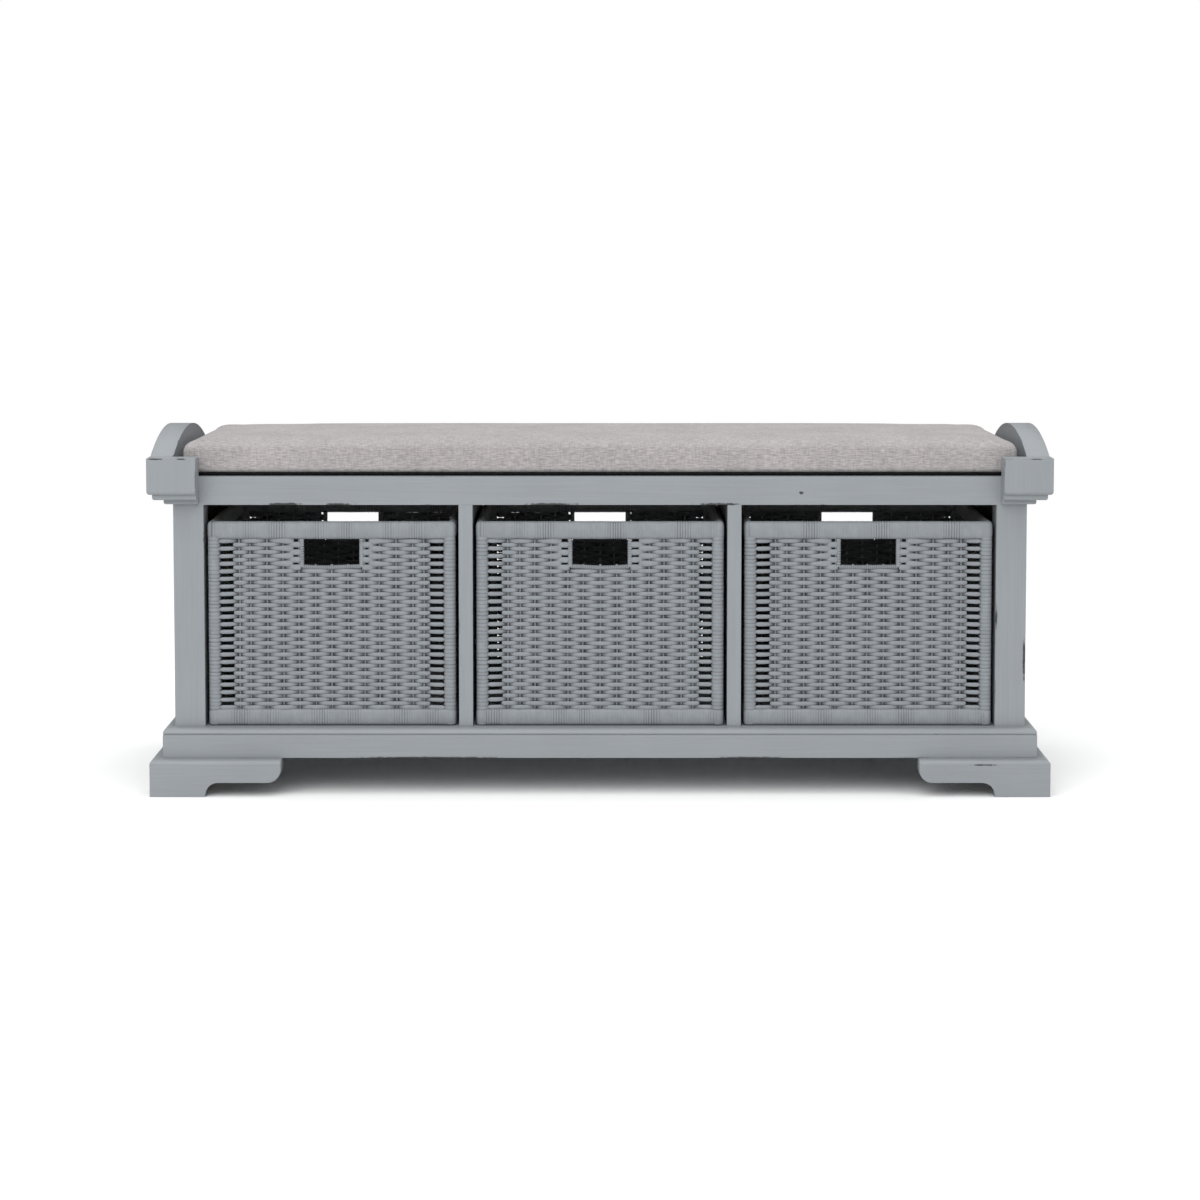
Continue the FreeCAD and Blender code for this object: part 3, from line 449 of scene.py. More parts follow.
def bump(tree, height, distance, strength=1.0):
    inputs = {"Height": height, "Distance": distance, "Strength": strength}
    return add_node(tree, "Bump", inputs).outputs[0]


def painted_timber(groups, settings, grain):
    """Satin paint brushed along one axis, rubbed through at some edges."""
    material, tree, shader, position = new_material("painted timber along " + grain)
    stretch = tuple(9.0 if axis == grain else 380.0 for axis in "xyz")
    marks = use_group(tree, groups["marks"], Position=position, Stretch=stretch)
    wear = use_group(tree, groups["wear"], Position=position, Reach=settings.wear_width,
                     Amount=settings.wear)
    spots = use_group(tree, groups["spots"], Position=position)
    bare = maths(tree, "MAXIMUM", wear.outputs["Mask"], spots.outputs["Mask"])
    film = tinted(tree, marks.outputs["Tone"], tuple(settings.paint), 0.07)
    worn = tuple(settings.worn) + (1.0,)
    tree.links.new(blend_colours(tree, bare, film, worn), shader.inputs["Base Color"])
    rough = ramp(tree, marks.outputs["Height"], 0.3, 0.7, settings.gloss - 0.05,
                 settings.gloss + 0.06)
    rough = maths(tree, "ADD", rough, maths(tree, "MULTIPLY", bare, 0.25))
    tree.links.new(rough, shader.inputs["Roughness"])
    relief = maths(tree, "SUBTRACT", marks.outputs["Height"], bare)
    tree.links.new(bump(tree, relief, 0.00018), shader.inputs["Normal"])
    shader.inputs["Specular IOR Level"].default_value = 0.42
    return material


def painted_cane(groups, settings, grain):
    """Painted paper cane, its fibres along one axis, darkened by painted shade where a point attribute says
    shadow falls.
    """
    material, tree, shader, position = new_material("painted cane along " + grain)
    stretch = tuple(60.0 if axis == grain else 900.0 for axis in "xyz")
    fibre = use_group(tree, groups["fibre"], Position=position, Stretch=stretch)
    painted = tinted(tree, fibre.outputs["Tone"], tuple(settings.cane), 0.1)
    # Painted shade: the point attribute mixes the cane towards the near-black shade colour in knots, grooves
    # and inside the basket.
    painted_shade = add_node(tree, "Attribute", attribute_name=PAINTED_SHADE).outputs["Fac"]
    bare = tuple(settings.painted_shade) + (1.0,)
    tree.links.new(blend_colours(tree, painted_shade, painted, bare), shader.inputs["Base Color"])
    tree.links.new(ramp(tree, fibre.outputs["Height"], 0.3, 0.7, 0.5, 0.66),
                   shader.inputs["Roughness"])
    tree.links.new(bump(tree, fibre.outputs["Height"], 0.0002), shader.inputs["Normal"])
    shader.inputs["Specular IOR Level"].default_value = 0.35
    return material


def seat_linen(groups, settings):
    material, tree, shader, position = new_material("seat linen")
    weave = use_group(tree, groups["linen"], Position=position, Thread=settings.thread)
    darker = tuple(value * part for value, part in zip(settings.linen, (0.76, 0.75, 0.76)))
    lighter = tuple(value * part for value, part in zip(settings.linen, (1.26, 1.25, 1.22)))
    yarn = blend_colours(tree, weave.outputs["Tone"], darker + (1.0,), lighter + (1.0,))
    tree.links.new(yarn, shader.inputs["Base Color"])
    tree.links.new(ramp(tree, weave.outputs["Tone"], 0.0, 1.0, 0.95, 0.82),
                   shader.inputs["Roughness"])
    tree.links.new(bump(tree, weave.outputs["Height"], 0.0004), shader.inputs["Normal"])
    shader.inputs["Specular IOR Level"].default_value = 0.2
    shader.inputs["Sheen Weight"].default_value = 0.15
    shader.inputs["Sheen Roughness"].default_value = 0.5
    return material


def plain_timber(name, base, gloss):
    """Unpainted timber with growth rings along the width."""
    material, tree, shader, position = new_material(name)
    rings = noise(tree, stretched(tree, position, (3.0, 55.0, 55.0)), scale=1.0, detail=5.0, roughness=0.6)
    fibres = noise(tree, stretched(tree, position, (20.0, 700.0, 700.0)), scale=1.0, detail=3.0)
    tone = maths(tree, "ADD", maths(tree, "MULTIPLY", rings, 0.7), maths(tree, "MULTIPLY", fibres, 0.3))
    tree.links.new(tinted(tree, tone, base, 0.3), shader.inputs["Base Color"])
    tree.links.new(ramp(tree, fibres, 0.3, 0.7, gloss - 0.06, gloss + 0.08),
                   shader.inputs["Roughness"])
    tree.links.new(bump(tree, fibres, 0.0002), shader.inputs["Normal"])
    return material


def woven_backing(name, base, threads):
    """A dark woven cloth or tape."""
    material, tree, shader, position = new_material(name)
    weave = add_node(tree, "TexVoronoi", {"Vector": position, "Scale": threads}).outputs["Distance"]
    tree.links.new(tinted(tree, weave, base, 0.4), shader.inputs["Base Color"])
    tree.links.new(bump(tree, weave, 0.0003), shader.inputs["Normal"])
    shader.inputs["Roughness"].default_value = 0.92
    shader.inputs["Specular IOR Level"].default_value = 0.2
    return material


def bright_zinc():
    material, tree, shader, position = new_material("bright zinc")
    spangle = noise(tree, position, scale=900.0, detail=2.0)
    tree.links.new(tinted(tree, spangle, (0.52, 0.53, 0.55), 0.15), shader.inputs["Base Color"])
    tree.links.new(ramp(tree, spangle, 0.3, 0.7, 0.28, 0.42), shader.inputs["Roughness"])
    shader.inputs["Metallic"].default_value = 1.0
    return material


def stage_floor(settings):
    """A pale floor that fades into the white round it, so that no horizon shows."""
    material, tree, shader, position = new_material("stage floor")
    mottle = noise(tree, position, scale=3.0, detail=2.0)
    tree.links.new(tinted(tree, mottle, tuple(settings.floor), 0.004), shader.inputs["Base Color"])
    shader.inputs["Roughness"].default_value = 0.8
    shader.inputs["Specular IOR Level"].default_value = 0.1
    away = add_node(tree, "VectorMath", {0: position}, operation="LENGTH").outputs["Value"]
    fade = ramp(tree, away, settings.floor_reach * 0.5, settings.floor_reach)
    clear = tree.nodes.new("ShaderNodeBsdfTransparent").outputs[0]
    mixed = add_node(tree, "MixShader", {0: fade, 1: shader.outputs[0], 2: clear}).outputs[0]
    output = next(node for node in tree.nodes if node.type == "OUTPUT_MATERIAL")
    tree.links.new(mixed, output.inputs["Surface"])
    return material


def finish_named(name):
    """The finish of that name, made on first use."""
    if name in FINISHES:
        return FINISHES[name]
    scene = bpy.context.scene
    if not GROUPS:
        GROUPS.update(marks=brush_marks_group(), wear=edge_wear_group(),
                      spots=rubbed_spots_group(), fibre=cane_fibre_group(),
                      linen=linen_group())
    kind, _, grain = name.partition(" along ")
    makers = {
        "painted timber": lambda: painted_timber(GROUPS, scene.bench_paint, grain),
        "painted cane": lambda: painted_cane(GROUPS, scene.bench_cane, grain),
        "seat linen": lambda: seat_linen(GROUPS, scene.bench_linen),
        "bare pine": lambda: plain_timber("bare pine", (0.40, 0.30, 0.20), 0.62),
        "beech": lambda: plain_timber("beech", (0.52, 0.35, 0.22), 0.55),
        # The black cloth's near-black colour is partly painted shade: it covers the board under the pad and
        # also stands in for the shadow in the gap between the pad and the rails.
        "black cloth and shade": lambda: woven_backing("black cloth and shade", (0.012, 0.012, 0.013), 900.0),
        "black tape": lambda: woven_backing("black tape", (0.02, 0.02, 0.021), 1400.0),
        "bright zinc": bright_zinc,
        "stage floor": lambda: stage_floor(scene.bench_stage),
    }
    FINISHES[name] = makers[kind]()
    return FINISHES[name]


FINISHES = {}
GROUPS = {}


# --- Mesh tools -----------------------------------------------------------------


class MeshParts:
    """Collects the skins of many strands and turns them into one object."""

    def __init__(self):
        self.points = []
        self.painted_shades = []
        self.faces = []
        self.count = 0

    def add_sweep(self, rings, painted_shade=None, closed=False):
        """Rings is an array of sections (rings, corners, 3) joined into a skin."""
        total, corners = rings.shape[:2]
        start = self.count
        self.points.append(rings.reshape(-1, 3))
        self.painted_shades.append(np.zeros(total * corners) if painted_shade is None else painted_shade.reshape(-1))
        self.count += total * corners
        ring = np.arange(total if closed else total - 1)[:, None]
        corner = np.arange(corners)[None, :]
        following = (ring + 1) % total
        beside = (corner + 1) % corners
        quads = np.stack([ring * corners + corner, ring * corners + beside,
                          following * corners + beside, following * corners + corner], axis=-1)
        self.faces.extend((quads.reshape(-1, 4) + start).tolist())
        if not closed:
            self.faces.append(list(range(start + corners - 1, start - 1, -1)))
            end = start + (total - 1) * corners
            self.faces.append(list(range(end, end + corners)))

    def build(self, name, place):
        """One smooth object. place turns local points into the bench's frame."""
        mesh = bpy.data.meshes.new(name)
        mesh.from_pydata(place(np.concatenate(self.points)).tolist(), [], self.faces)
        # Painted shade per point, stored for the cane's material.
        painted_shade = mesh.attributes.new(PAINTED_SHADE, "FLOAT", "POINT")
        painted_shade.data.foreach_set("value", np.concatenate(self.painted_shades).astype(np.float32))
        clean_up(mesh)
        mesh.shade_smooth()
        made = bpy.data.objects.new(name, mesh)
        bpy.context.scene.collection.objects.link(made)
        return made


def clean_up(mesh):
    """Joins points that meet and turns all faces outward."""
    work = bmesh.new()
    work.from_mesh(mesh)
    bmesh.ops.remove_doubles(work, verts=work.verts, dist=MEETING)
    bmesh.ops.recalc_face_normals(work, faces=work.faces)
    work.to_mesh(mesh)
    work.free()


def rounded_section(width, height, radius, per_corner=3):
    """Outline of a rounded rectangle about its middle, and the way outward at each point."""
    points, outward = [], []
    for quarter, (sx, sy) in enumerate(((1, 1), (-1, 1), (-1, -1), (1, -1))):
        for step in range(per_corner):
            angle = math.radians(90 * (quarter + step / (per_corner - 1)))
            way = np.array([math.cos(angle), math.sin(angle)])
            middle = np.array([sx * (width / 2 - radius), sy * (height / 2 - radius)])
            points.append(middle + way * radius)
            outward.append(way)
    return np.array(points), np.array(outward)


def wrap_stations(total, pitch, rng, groove, even=False):
    """Where the turns of a wrapping lie along a bar: distances and outward offsets."""
    turns = max(2, round(total / pitch))
    edges = np.linspace(0, total, turns + 1)
    edges[1:-1] += rng.uniform(-0.1, 0.1, turns - 1) * pitch
    slack = np.sin(edges * rng.uniform(50, 70) + rng.uniform(0, 6))
    slack += np.sin(edges * rng.uniform(110, 150) + rng.uniform(0, 6))
    if even:
        slack = 0.7 + 0.2 * slack
    distances, offsets = [], []
    for start, end, loose in zip(edges[:-1], edges[1:], slack):
        deep = groove * (0.35 + 0.65 * max(0.0, loose)) * rng.uniform(0.8, 1.2)
        proud = groove * rng.uniform(-0.2, 0.2)
        distances += [start + (end - start) * part for part in (0.0, 0.18, 0.5, 0.82)]
        offsets += [-deep, proud - groove * 0.15, proud, proud - groove * 0.15]
    return np.array(distances), np.array(offsets)


def groove_painted_shade(offsets, groove, corners):
    """Painted shade down in the grooves: how much darker the cane is made there, standing in for the shadow
    between turns.
    """
    shade = np.clip(-offsets / groove - 0.25, 0, 1) * 0.7
    return np.repeat(shade[:, None], corners, axis=1)


def straight_bar(parts, start, end, width_way, width, height, radius, pitch, rng, groove,
                 even=False):
    """A wrapped bar from start to end. width_way is the section's first axis."""
    start, end, width_way = (np.array(v, dtype=float) for v in (start, end, width_way))
    total = np.linalg.norm(end - start)
    along = (end - start) / total
    height_way = np.cross(along, width_way)
    section, outward = rounded_section(width, height, radius)
    distances, offsets = wrap_stations(total, pitch, rng, groove, even)
    distances = np.append(distances, total)
    offsets = np.append(offsets, 0.0)
    flat = section[None] + outward[None] * offsets[:, None, None]
    rings = (start + along * distances[:, None])[:, None, :]
    rings = rings + flat[..., :1] * width_way + flat[..., 1:] * height_way
    parts.add_sweep(rings, groove_painted_shade(offsets, groove, len(section)))


def loop_bar(parts, reach, level, corner, width, height, radius, pitch, rng, groove):
    """A wrapped bar round a rectangle. reach is its half size up to the corner arcs."""
    spine, ways, offsets = [], [], []
    for along in ((1, 0), (0, 1), (-1, 0), (0, -1)):
        along = np.array(along, dtype=float)
        out = np.array([along[1], -along[0]])
        run = 2 * abs(along) @ reach
        distances, ribs = wrap_stations(run, pitch, rng, groove)
        for distance, rib in zip(distances, ribs):
            spine.append((out - along) * reach + along * distance)
            ways.append(out)
            offsets.append(rib)
        for angle in np.radians((0, 22.5, 45, 67.5)):
            spine.append((out + along) * reach)
            ways.append(out * math.cos(angle) + along * math.sin(angle))
            offsets.append(0.0)
    spine, ways, offsets = np.array(spine), np.array(ways), np.array(offsets)
    section, outward = rounded_section(width, height, radius)
    flat = section[None] + outward[None] * offsets[:, None, None]
    rings = np.zeros((len(spine), len(section), 3))
    arc = corner + flat[..., 0]
    for axis in range(2):
        limit = reach[axis] + np.minimum(arc, 0)
        rings[..., axis] = np.clip(spine[:, None, axis], -limit, limit)
        rings[..., axis] += ways[:, None, axis] * np.maximum(arc, 0)
    rings[..., 2] = level + flat[..., 1]
    parts.add_sweep(rings, groove_painted_shade(offsets, groove, len(section)), closed=True)


# --- Baskets --------------------------------------------------------------------


class Wall:
    """One woven wall in its own frame: u along it, w outward and z up, in metres."""

    def __init__(self, half_width, low, high, settings, rng, hole=None, ends=WOVEN_FROM_OUTSIDE):
        self.half = half_width
        self.side_turn = settings.turn * ends["side_turn"]
        self.hole_turn = settings.turn * ends["hole_turn"]
        self.side_height = ends["side_height"]
        self.hole_height = ends["hole_height"]
        self.sill = settings.border + ends["sill"]
        self.low, self.high = low, high
        self.cane = settings
        self.rng = rng
        self.hole = hole  # half width and lowest level of the hand hole
        even = (np.arange(settings.stakes) - (settings.stakes - 1) / 2) * settings.stake_pitch
        outer = even[-1] + settings.side_stake
        scale = (half_width - settings.side_gap) / outer
        self.stakes = np.concatenate([[-outer], even, [outer]]) * scale
        self.stakes += rng.uniform(-1.3, 1.3, len(self.stakes)) * MM
        self.sway = rng.uniform(0, 2 * math.pi, 4)

    def level(self, u, row_z):
        """A row is never quite level."""
        first = np.sin(u * 21.0 + self.sway[0] + row_z * 9.0)
        second = np.sin(u * 47.0 + self.sway[1] - row_z * 17.0)
        return row_z + (0.3 * first + 0.15 * second) * MM

    def crossings(self, row, left, right, turns):
        """Where a row crosses the stakes and how far out it is there, with its two ends."""
        swing = self.cane.swing
        inside = [i for i, u in enumerate(self.stakes) if left + 2 * MM < u < right - 2 * MM]
        points = [(self.stakes[i], swing if (i + row) % 2 else -swing) for i in inside]
        points = [(u + self.rng.normal(0, 0.35) * MM, w * self.rng.uniform(0.88, 1.06))
                  for u, w in points]
        run_out = swing * 0.8
        if points[0][1] < 0:
            points.insert(0, (left - 2.5 * MM, run_out))
        else:
            points.insert(0, (max(left, points[0][0] - turns[0]), 0.2 * swing))
        if points[-1][1] < 0:
            points.append((right + 2.5 * MM, run_out))
        else:
            points.append((min(right, points[-1][0] + turns[1]), 0.2 * swing))
        return points

    def weave(self, parts, row, row_z, left, right, turns, swells):
        """Adds one strand. It dips behind a stake only close to it, and swells at its ends."""
        steps, dip_power = 7, 1.7
        crossing_swell, end_reach, end_taper = 0.12, 14 * MM, 0.6
        points = self.crossings(row, left, right, turns)
        us, ws = [points[0][0]], [points[0][1]]
        for (u0, w0), (u1, w1) in zip(points[:-1], points[1:]):
            for step in range(1, steps + 1):
                part = step / steps
                dip = part if w0 > w1 else 1 - part
                eased = math.sin(math.pi / 2 * dip ** dip_power) ** 2
                us.append(u0 + (u1 - u0) * part)
                ws.append(w0 + (w1 - w0) * (eased if w0 > w1 else 1 - eased))
        us, ws = np.array(us), np.array(ws)
        zs = self.level(us, row_z)
        slope = np.gradient(ws, us)
        long = np.sqrt(1 + slope ** 2)
        out = np.stack([-slope / long, 1 / long], axis=1)
        depth = np.clip(ws / self.cane.swing, -1, 1)
        height = self.cane.strand_height / 2 * (1 + self.rng.uniform(-0.04, 0.03))
        height = height * (1 + crossing_swell * np.abs(depth))
        for end, swell in ((points[0][0], swells[0]), (points[-1][0], swells[1])):
            near = np.clip(1.6 - np.abs(us - end) / end_reach, 0, 1)
            height = height * (1 + (swell - 1) * near)
        height[[0, -1]] *= end_taper
        section = STRAND_SECTION
        rings = np.zeros((len(us), len(section), 3))
        side = section[:, 1] * self.cane.strand_thickness / 2
        rings[..., 0] = us[:, None] + side * out[:, :1]
        rings[..., 1] = ws[:, None] + side * out[:, 1:]
        rings[..., 2] = zs[:, None] + section[:, 0] * height[:, None]
        # Painted shade: the strand is darkened on the face that sinks behind a stake, by a random amount at
        # each crossing, and on its inner side by the Inside setting, for the shadow in the knots and inside
        # the basket.
        bare = np.interp(us, [u for u, w in points], self.rng.uniform(0.45, 1.0, len(points)))
        painted_shade = np.clip(-depth[:, None] * section[:, 1] * 1.25 - 0.2, 0, 1) ** 1.2
        painted_shade *= bare[:, None]
        inside = np.where(section[:, 1] < 0, self.cane.inside, 0.0)
        parts.add_sweep(rings, np.maximum(painted_shade, inside))

    def add_stakes(self, parts):
        angles = np.arange(8) * math.pi / 4
        radius = self.cane.stake / 2
        into_bars = 3 * MM
        for u in self.stakes:
            top = self.high + into_bars
            if self.hole and abs(u) < self.hole[0] + self.cane.border:
                top = self.hole[1]
            levels = np.linspace(self.low - into_bars, top, 10)
            lean = np.sin(levels * 30 + u * 50) * 0.4 * MM
            rings = np.zeros((len(levels), 8, 3))
            rings[..., 0] = u + lean[:, None] + np.cos(angles) * radius
            rings[..., 1] = np.sin(angles) * radius
            rings[..., 2] = levels[:, None]
            parts.add_sweep(rings)

    def add_rows(self, parts):
        low = self.low - self.cane.tuck
        span = self.high + self.cane.tuck - low
        rows = round(span / self.cane.row_pitch)
        side, hole = self.side_turn, self.hole_turn
        open_end, filled_end = self.side_height, self.hole_height
        for row in range(rows):
            row_z = low + (row + 0.5) * span / rows
            if self.hole and row_z > self.hole[1] - self.cane.border:
                edge = self.hole[0] + self.cane.border
                self.weave(parts, row, row_z, -self.half, -edge, (side, hole),
                           (open_end, filled_end))
                self.weave(parts, row, row_z, edge, self.half, (hole, side),
                           (filled_end, open_end))
            else:
                self.weave(parts, row, row_z, -self.half, self.half, (side, side),
                           (open_end, open_end))

    def add_border(self, parts):
        """The wrapped border down the sides and along the foot of the hand hole."""
        half, low = self.hole
        cane = self.cane
        thickness = cane.strand_thickness * 2.4
        for side in (-1, 1):
            u = side * (half + cane.border / 2)
            straight_bar(parts, (u, 0, low - cane.border * 0.6), (u, 0, self.high + 1 * MM),
                         (1, 0, 0), cane.border, thickness, 2.6 * MM, cane.wrap, self.rng,
                         cane.groove)
        end = half + cane.border * 0.4
        stations, sag_depth, unevenness = 57, 1.4 * MM, 0.4 * MM
        us = np.linspace(-end, end, stations)
        sag = -sag_depth * (1 - (us / end) ** 2) + unevenness * np.sin(us * 70 + self.sway[2])
        section, outward = rounded_section(self.sill, thickness, 2.4 * MM)
        ribs = np.where(np.arange(stations) % 2 == 0, -cane.groove, 0.0)
        flat = section[None] + outward[None] * ribs[:, None, None]
        rings = np.zeros((stations, len(section), 3))
        rings[..., 0] = us[:, None]
        rings[..., 1] = flat[..., 1]
        rings[..., 2] = (low - self.sill / 2 + sag)[:, None] + flat[..., 0]
        parts.add_sweep(rings, groove_painted_shade(ribs, cane.groove, len(section)))


def strand_section():
    """Unit outline of a strand: (up, outward), flat in front and rounded at its edges."""
    angles = np.radians(22.5 + 45 * np.arange(8))
    up = np.sign(np.cos(angles)) * np.abs(np.cos(angles)) ** 0.7
    out = np.sign(np.sin(angles)) * np.abs(np.sin(angles)) ** 0.8
    return np.stack([up / up.max(), out / out.max()], axis=1)


STRAND_SECTION = strand_section()


def basket_sizes(name):
    """The basket's own box and bar sizes, read from the frame."""
    rim_low, rim_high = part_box(name + "_rim")
    wall_low, wall_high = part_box(name + "_front_weave")
    frame_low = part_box(name + "_frame")[0]
    half_x = (rim_high[0] - rim_low[0]) / 2
    half_y = (rim_high[1] - rim_low[1]) / 2
    return {
        "middle": ((rim_low[0] + rim_high[0]) / 2, (rim_low[1] + rim_high[1]) / 2),
        "half_x": half_x,
        "half_y": half_y,
        "bottom": frame_low[2],
        "low": wall_low[2],
        "high": wall_high[2],
        "top": rim_high[2],
        "wall": (wall_low[1] + wall_high[1]) / 2 - rim_low[1],
    }


def hand_hole(name):
    """Half width and lowest level of the hand hole, from the record's opening."""
    openings = frame["record"]["physics"]["openings"]
    box = next(o["box_m"] for o in openings if o["name"] == name + "_front_hand_hole")
    return (box[1][0] - box[0][0]) / 2 + 0.5 * MM, box[0][2] - 0.3 * MM


def own_seed(name):
    return BASKETS.index(name) * 101 + 7


def attach(piece, body, slot, material, *nodes):
    """Gives a new piece its finish and its body, and hides the nodes it stands in for."""
    piece.data.materials.clear()
    piece.data.materials.append(finish_named(material))
    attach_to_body(piece, body)
    if nodes:
        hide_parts(*nodes)
    return piece


class BENCH_OT_basket_bars(bpy.types.Operator):
    """Makes the wrapped rim, corner bars and lower bars of one basket."""

    bl_idname = "bench.basket_bars"
    bl_label = "Basket bars"
    bl_options = {"REGISTER", "UNDO"}

    basket: StringProperty(name="Basket", description="Which basket", default=BASKETS[0])

    def execute(self, context):
        cane = context.scene.bench_cane
        name = self.basket
        sizes = basket_sizes(name)
        rng = np.random.default_rng(own_seed(name))
        middle = np.array([*sizes["middle"], 0.0])
        bar = 11.6 * MM
        corner = 1.4 * MM
        inset = 0.4 * MM
        rim_radius, corner_radius, foot_radius = 5.2 * MM, 6.0 * MM, 4.2 * MM
        rim_gap, above_foot, into_rim = 0.6 * MM, 0.8 * MM, 4 * MM
        reach = np.array([sizes["half_x"], sizes["half_y"]]) - inset - bar / 2 - corner

        def place(points):
            return points + middle

        rim = MeshParts()
        height = sizes["top"] - sizes["high"]
        loop_bar(rim, reach, (sizes["top"] + sizes["high"]) / 2, corner, bar,
                 height - rim_gap, rim_radius, cane.wrap, rng, cane.groove)
        made = rim.build(name + "_rim_bar", place)
        attach(made, name, "basket_cane", "painted cane along z", name + "_rim")

        corners = MeshParts()
        wide = cane.corner_bar - 1.6 * MM
        for side_x in (-1, 1):
            for side_y in (-1, 1):
                x = side_x * (sizes["half_x"] - cane.corner_bar / 2)
                y = side_y * (sizes["half_y"] - cane.corner_bar / 2)
                start = (x, y, sizes["bottom"] + above_foot)
                end = (x, y, sizes["high"] + into_rim)
                straight_bar(corners, start, end, (1, 0, 0), wide, wide, corner_radius,
                             cane.row_pitch, rng, cane.groove, even=True)
        made = corners.build(name + "_corner_bars", place)
        attach(made, name, "basket_cane", "painted cane along x", name + "_frame")

        foot = MeshParts()
        top = sizes["low"] + LOWER_BAR_RISE
        level = (sizes["bottom"] + top) / 2
        loop_bar(foot, reach, level, corner, bar, top - sizes["bottom"], foot_radius,
                 cane.wrap, rng, cane.groove)
        made = foot.build(name + "_lower_bars", place)
        attach(made, name, "basket_cane", "painted cane along z")
        return {"FINISHED"}


class BENCH_OT_basket_walls(bpy.types.Operator):
    """Weaves the four walls of one basket, strand by strand."""

    bl_idname = "bench.basket_walls"
    bl_label = "Basket walls"
    bl_options = {"REGISTER", "UNDO"}

    basket: StringProperty(name="Basket", description="Which basket", default=BASKETS[0])

    def execute(self, context):
        cane = context.scene.bench_cane
        name = self.basket
        sizes = basket_sizes(name)
        middle = np.array([*sizes["middle"], 0.0])
        for number, wall_name in enumerate(WALLS):
            rng = np.random.default_rng(own_seed(name) + 10 + number)
            along_x = wall_name in ("front", "back")
            hole = hand_hole(name) if along_x else None
            half = (sizes["half_x"] if along_x else sizes["half_y"]) - cane.corner_bar
            ends = WOVEN_FROM_OUTSIDE if wall_name == "front" else WOVEN_TIGHT
            wall = Wall(half, sizes["low"] + LOWER_BAR_RISE, sizes["high"], cane, rng, hole, ends)
            parts = MeshParts()
            wall.add_rows(parts)
            wall.add_stakes(parts)
            if hole:
                wall.add_border(parts)
            out = -1 if wall_name in ("front", "left") else 1
            far = (sizes["half_y"] if along_x else sizes["half_x"]) - sizes["wall"]

            def place(points):
                u, w, z = points[:, 0], points[:, 1], points[:, 2]
                stood = (u, out * (far + w), z) if along_x else (out * (far + w), u, z)
                return np.stack(stood, axis=1) + middle

            made = parts.build("%s_%s_weaving" % (name, wall_name), place)
            nodes = {"front": [name + "_front_weave"], "back": [name + "_back_weave"],
                     "left": [name + "_side_weaves"]}.get(wall_name, [])
            grain = "x" if along_x else "y"
            attach(made, name, "basket_cane", "painted cane along " + grain, *nodes)
        return {"FINISHED"}


class BENCH_OT_basket_floor(bpy.types.Operator):
    """Weaves the floor of one basket."""

    bl_idname = "bench.basket_floor"
    bl_label = "Basket floor"
    bl_options = {"REGISTER", "UNDO"}

    basket: StringProperty(name="Basket", description="Which basket", default=BASKETS[0])

    def execute(self, context):
        cane = context.scene.bench_cane
        name = self.basket
        low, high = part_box(name + "_floor")
        rng = np.random.default_rng(own_seed(name) + 50)
        half_x, half_y = (high[0] - low[0]) / 2, (high[1] - low[1]) / 2
        middle = [(a + b) / 2 for a, b in zip(low, high)]
        wall = Wall(half_x - 2 * MM, -half_y + 1 * MM, half_y - 1 * MM, cane, rng)
        parts = MeshParts()
        wall.add_rows(parts)
        wall.add_stakes(parts)

        def place(points):
            return np.stack([points[:, 0], points[:, 2], points[:, 1]], axis=1) + np.array(middle)

        made = parts.build(name + "_floor_weaving", place)
        attach(made, name, "basket_cane", "painted cane along x", name + "_floor")
        return {"FINISHED"}


# --- Timber ---------------------------------------------------------------------


def soften_edges(node, width, segments=2):
    """Rounds the edges of a board without touching its mesh."""
    weld = node.modifiers.new("Weld", "WELD")
    weld.merge_threshold = 2 * MEETING
    bevel = node.modifiers.new("Soft edges", "BEVEL")
    bevel.width = width
    bevel.segments = segments
    bevel.limit_method = "ANGLE"
    bevel.angle_limit = math.radians(40)
    bevel.harden_normals = True


def finish_board(name, material):
    node = frame["nodes"][name]
    finish = finish_named(material)
    for slot in node.material_slots:
        slot.material = finish
    return node


def paint_boards(scene, grains):
    """Paints the nodes, each brushed along its own grain."""
    for grain, names in grains.items():
        for name in names:
            node = finish_board(name, "painted timber along " + grain)
            soften_edges(node, scene.bench_paint.edge)


def pair(*names):
    return [name + side for name in names for side in ("_left", "_right")]


class BENCH_OT_case(bpy.types.Operator):
    """Paints the posts, rails, panels, dividers and shelf."""

    bl_idname = "bench.case"
    bl_label = "Case"
    bl_options = {"REGISTER", "UNDO"}

    def execute(self, context):
        paint_boards(context.scene, {
            "x": ["top_rail_front", "top_rail_rear", "shelf"],
            "y": pair("end_rail_upper", "end_rail_lower"),
            "z": pair("post_front", "post_rear", "end_panel", "divider"),
        })
        return {"FINISHED"}


class BENCH_OT_base(bpy.types.Operator):
    """Paints the moulded base and the bracket feet."""

    bl_idname = "bench.base"
    bl_label = "Base and feet"
    bl_options = {"REGISTER", "UNDO"}

    def execute(self, context):
        paint_boards(context.scene, {
            "x": ["base_rail_front", "base_rail_rear", "foot_rear_boards"] + pair("foot_front"),
            "y": pair("base_rail", "foot_side_front", "foot_side_rear"),
        })
        return {"FINISHED"}


class BENCH_OT_arms(bpy.types.Operator):
    """Paints the arched arms, their blocks and the bead under them."""

    bl_idname = "bench.arms"
    bl_label = "Arms"
    bl_options = {"REGISTER", "UNDO"}

    def execute(self, context):
        paint_boards(context.scene, {
            "y": pair("arm_rail") + ["arm_beads"],
            "z": pair("arm_block_front", "arm_block_rear"),
        })
        return {"FINISHED"}


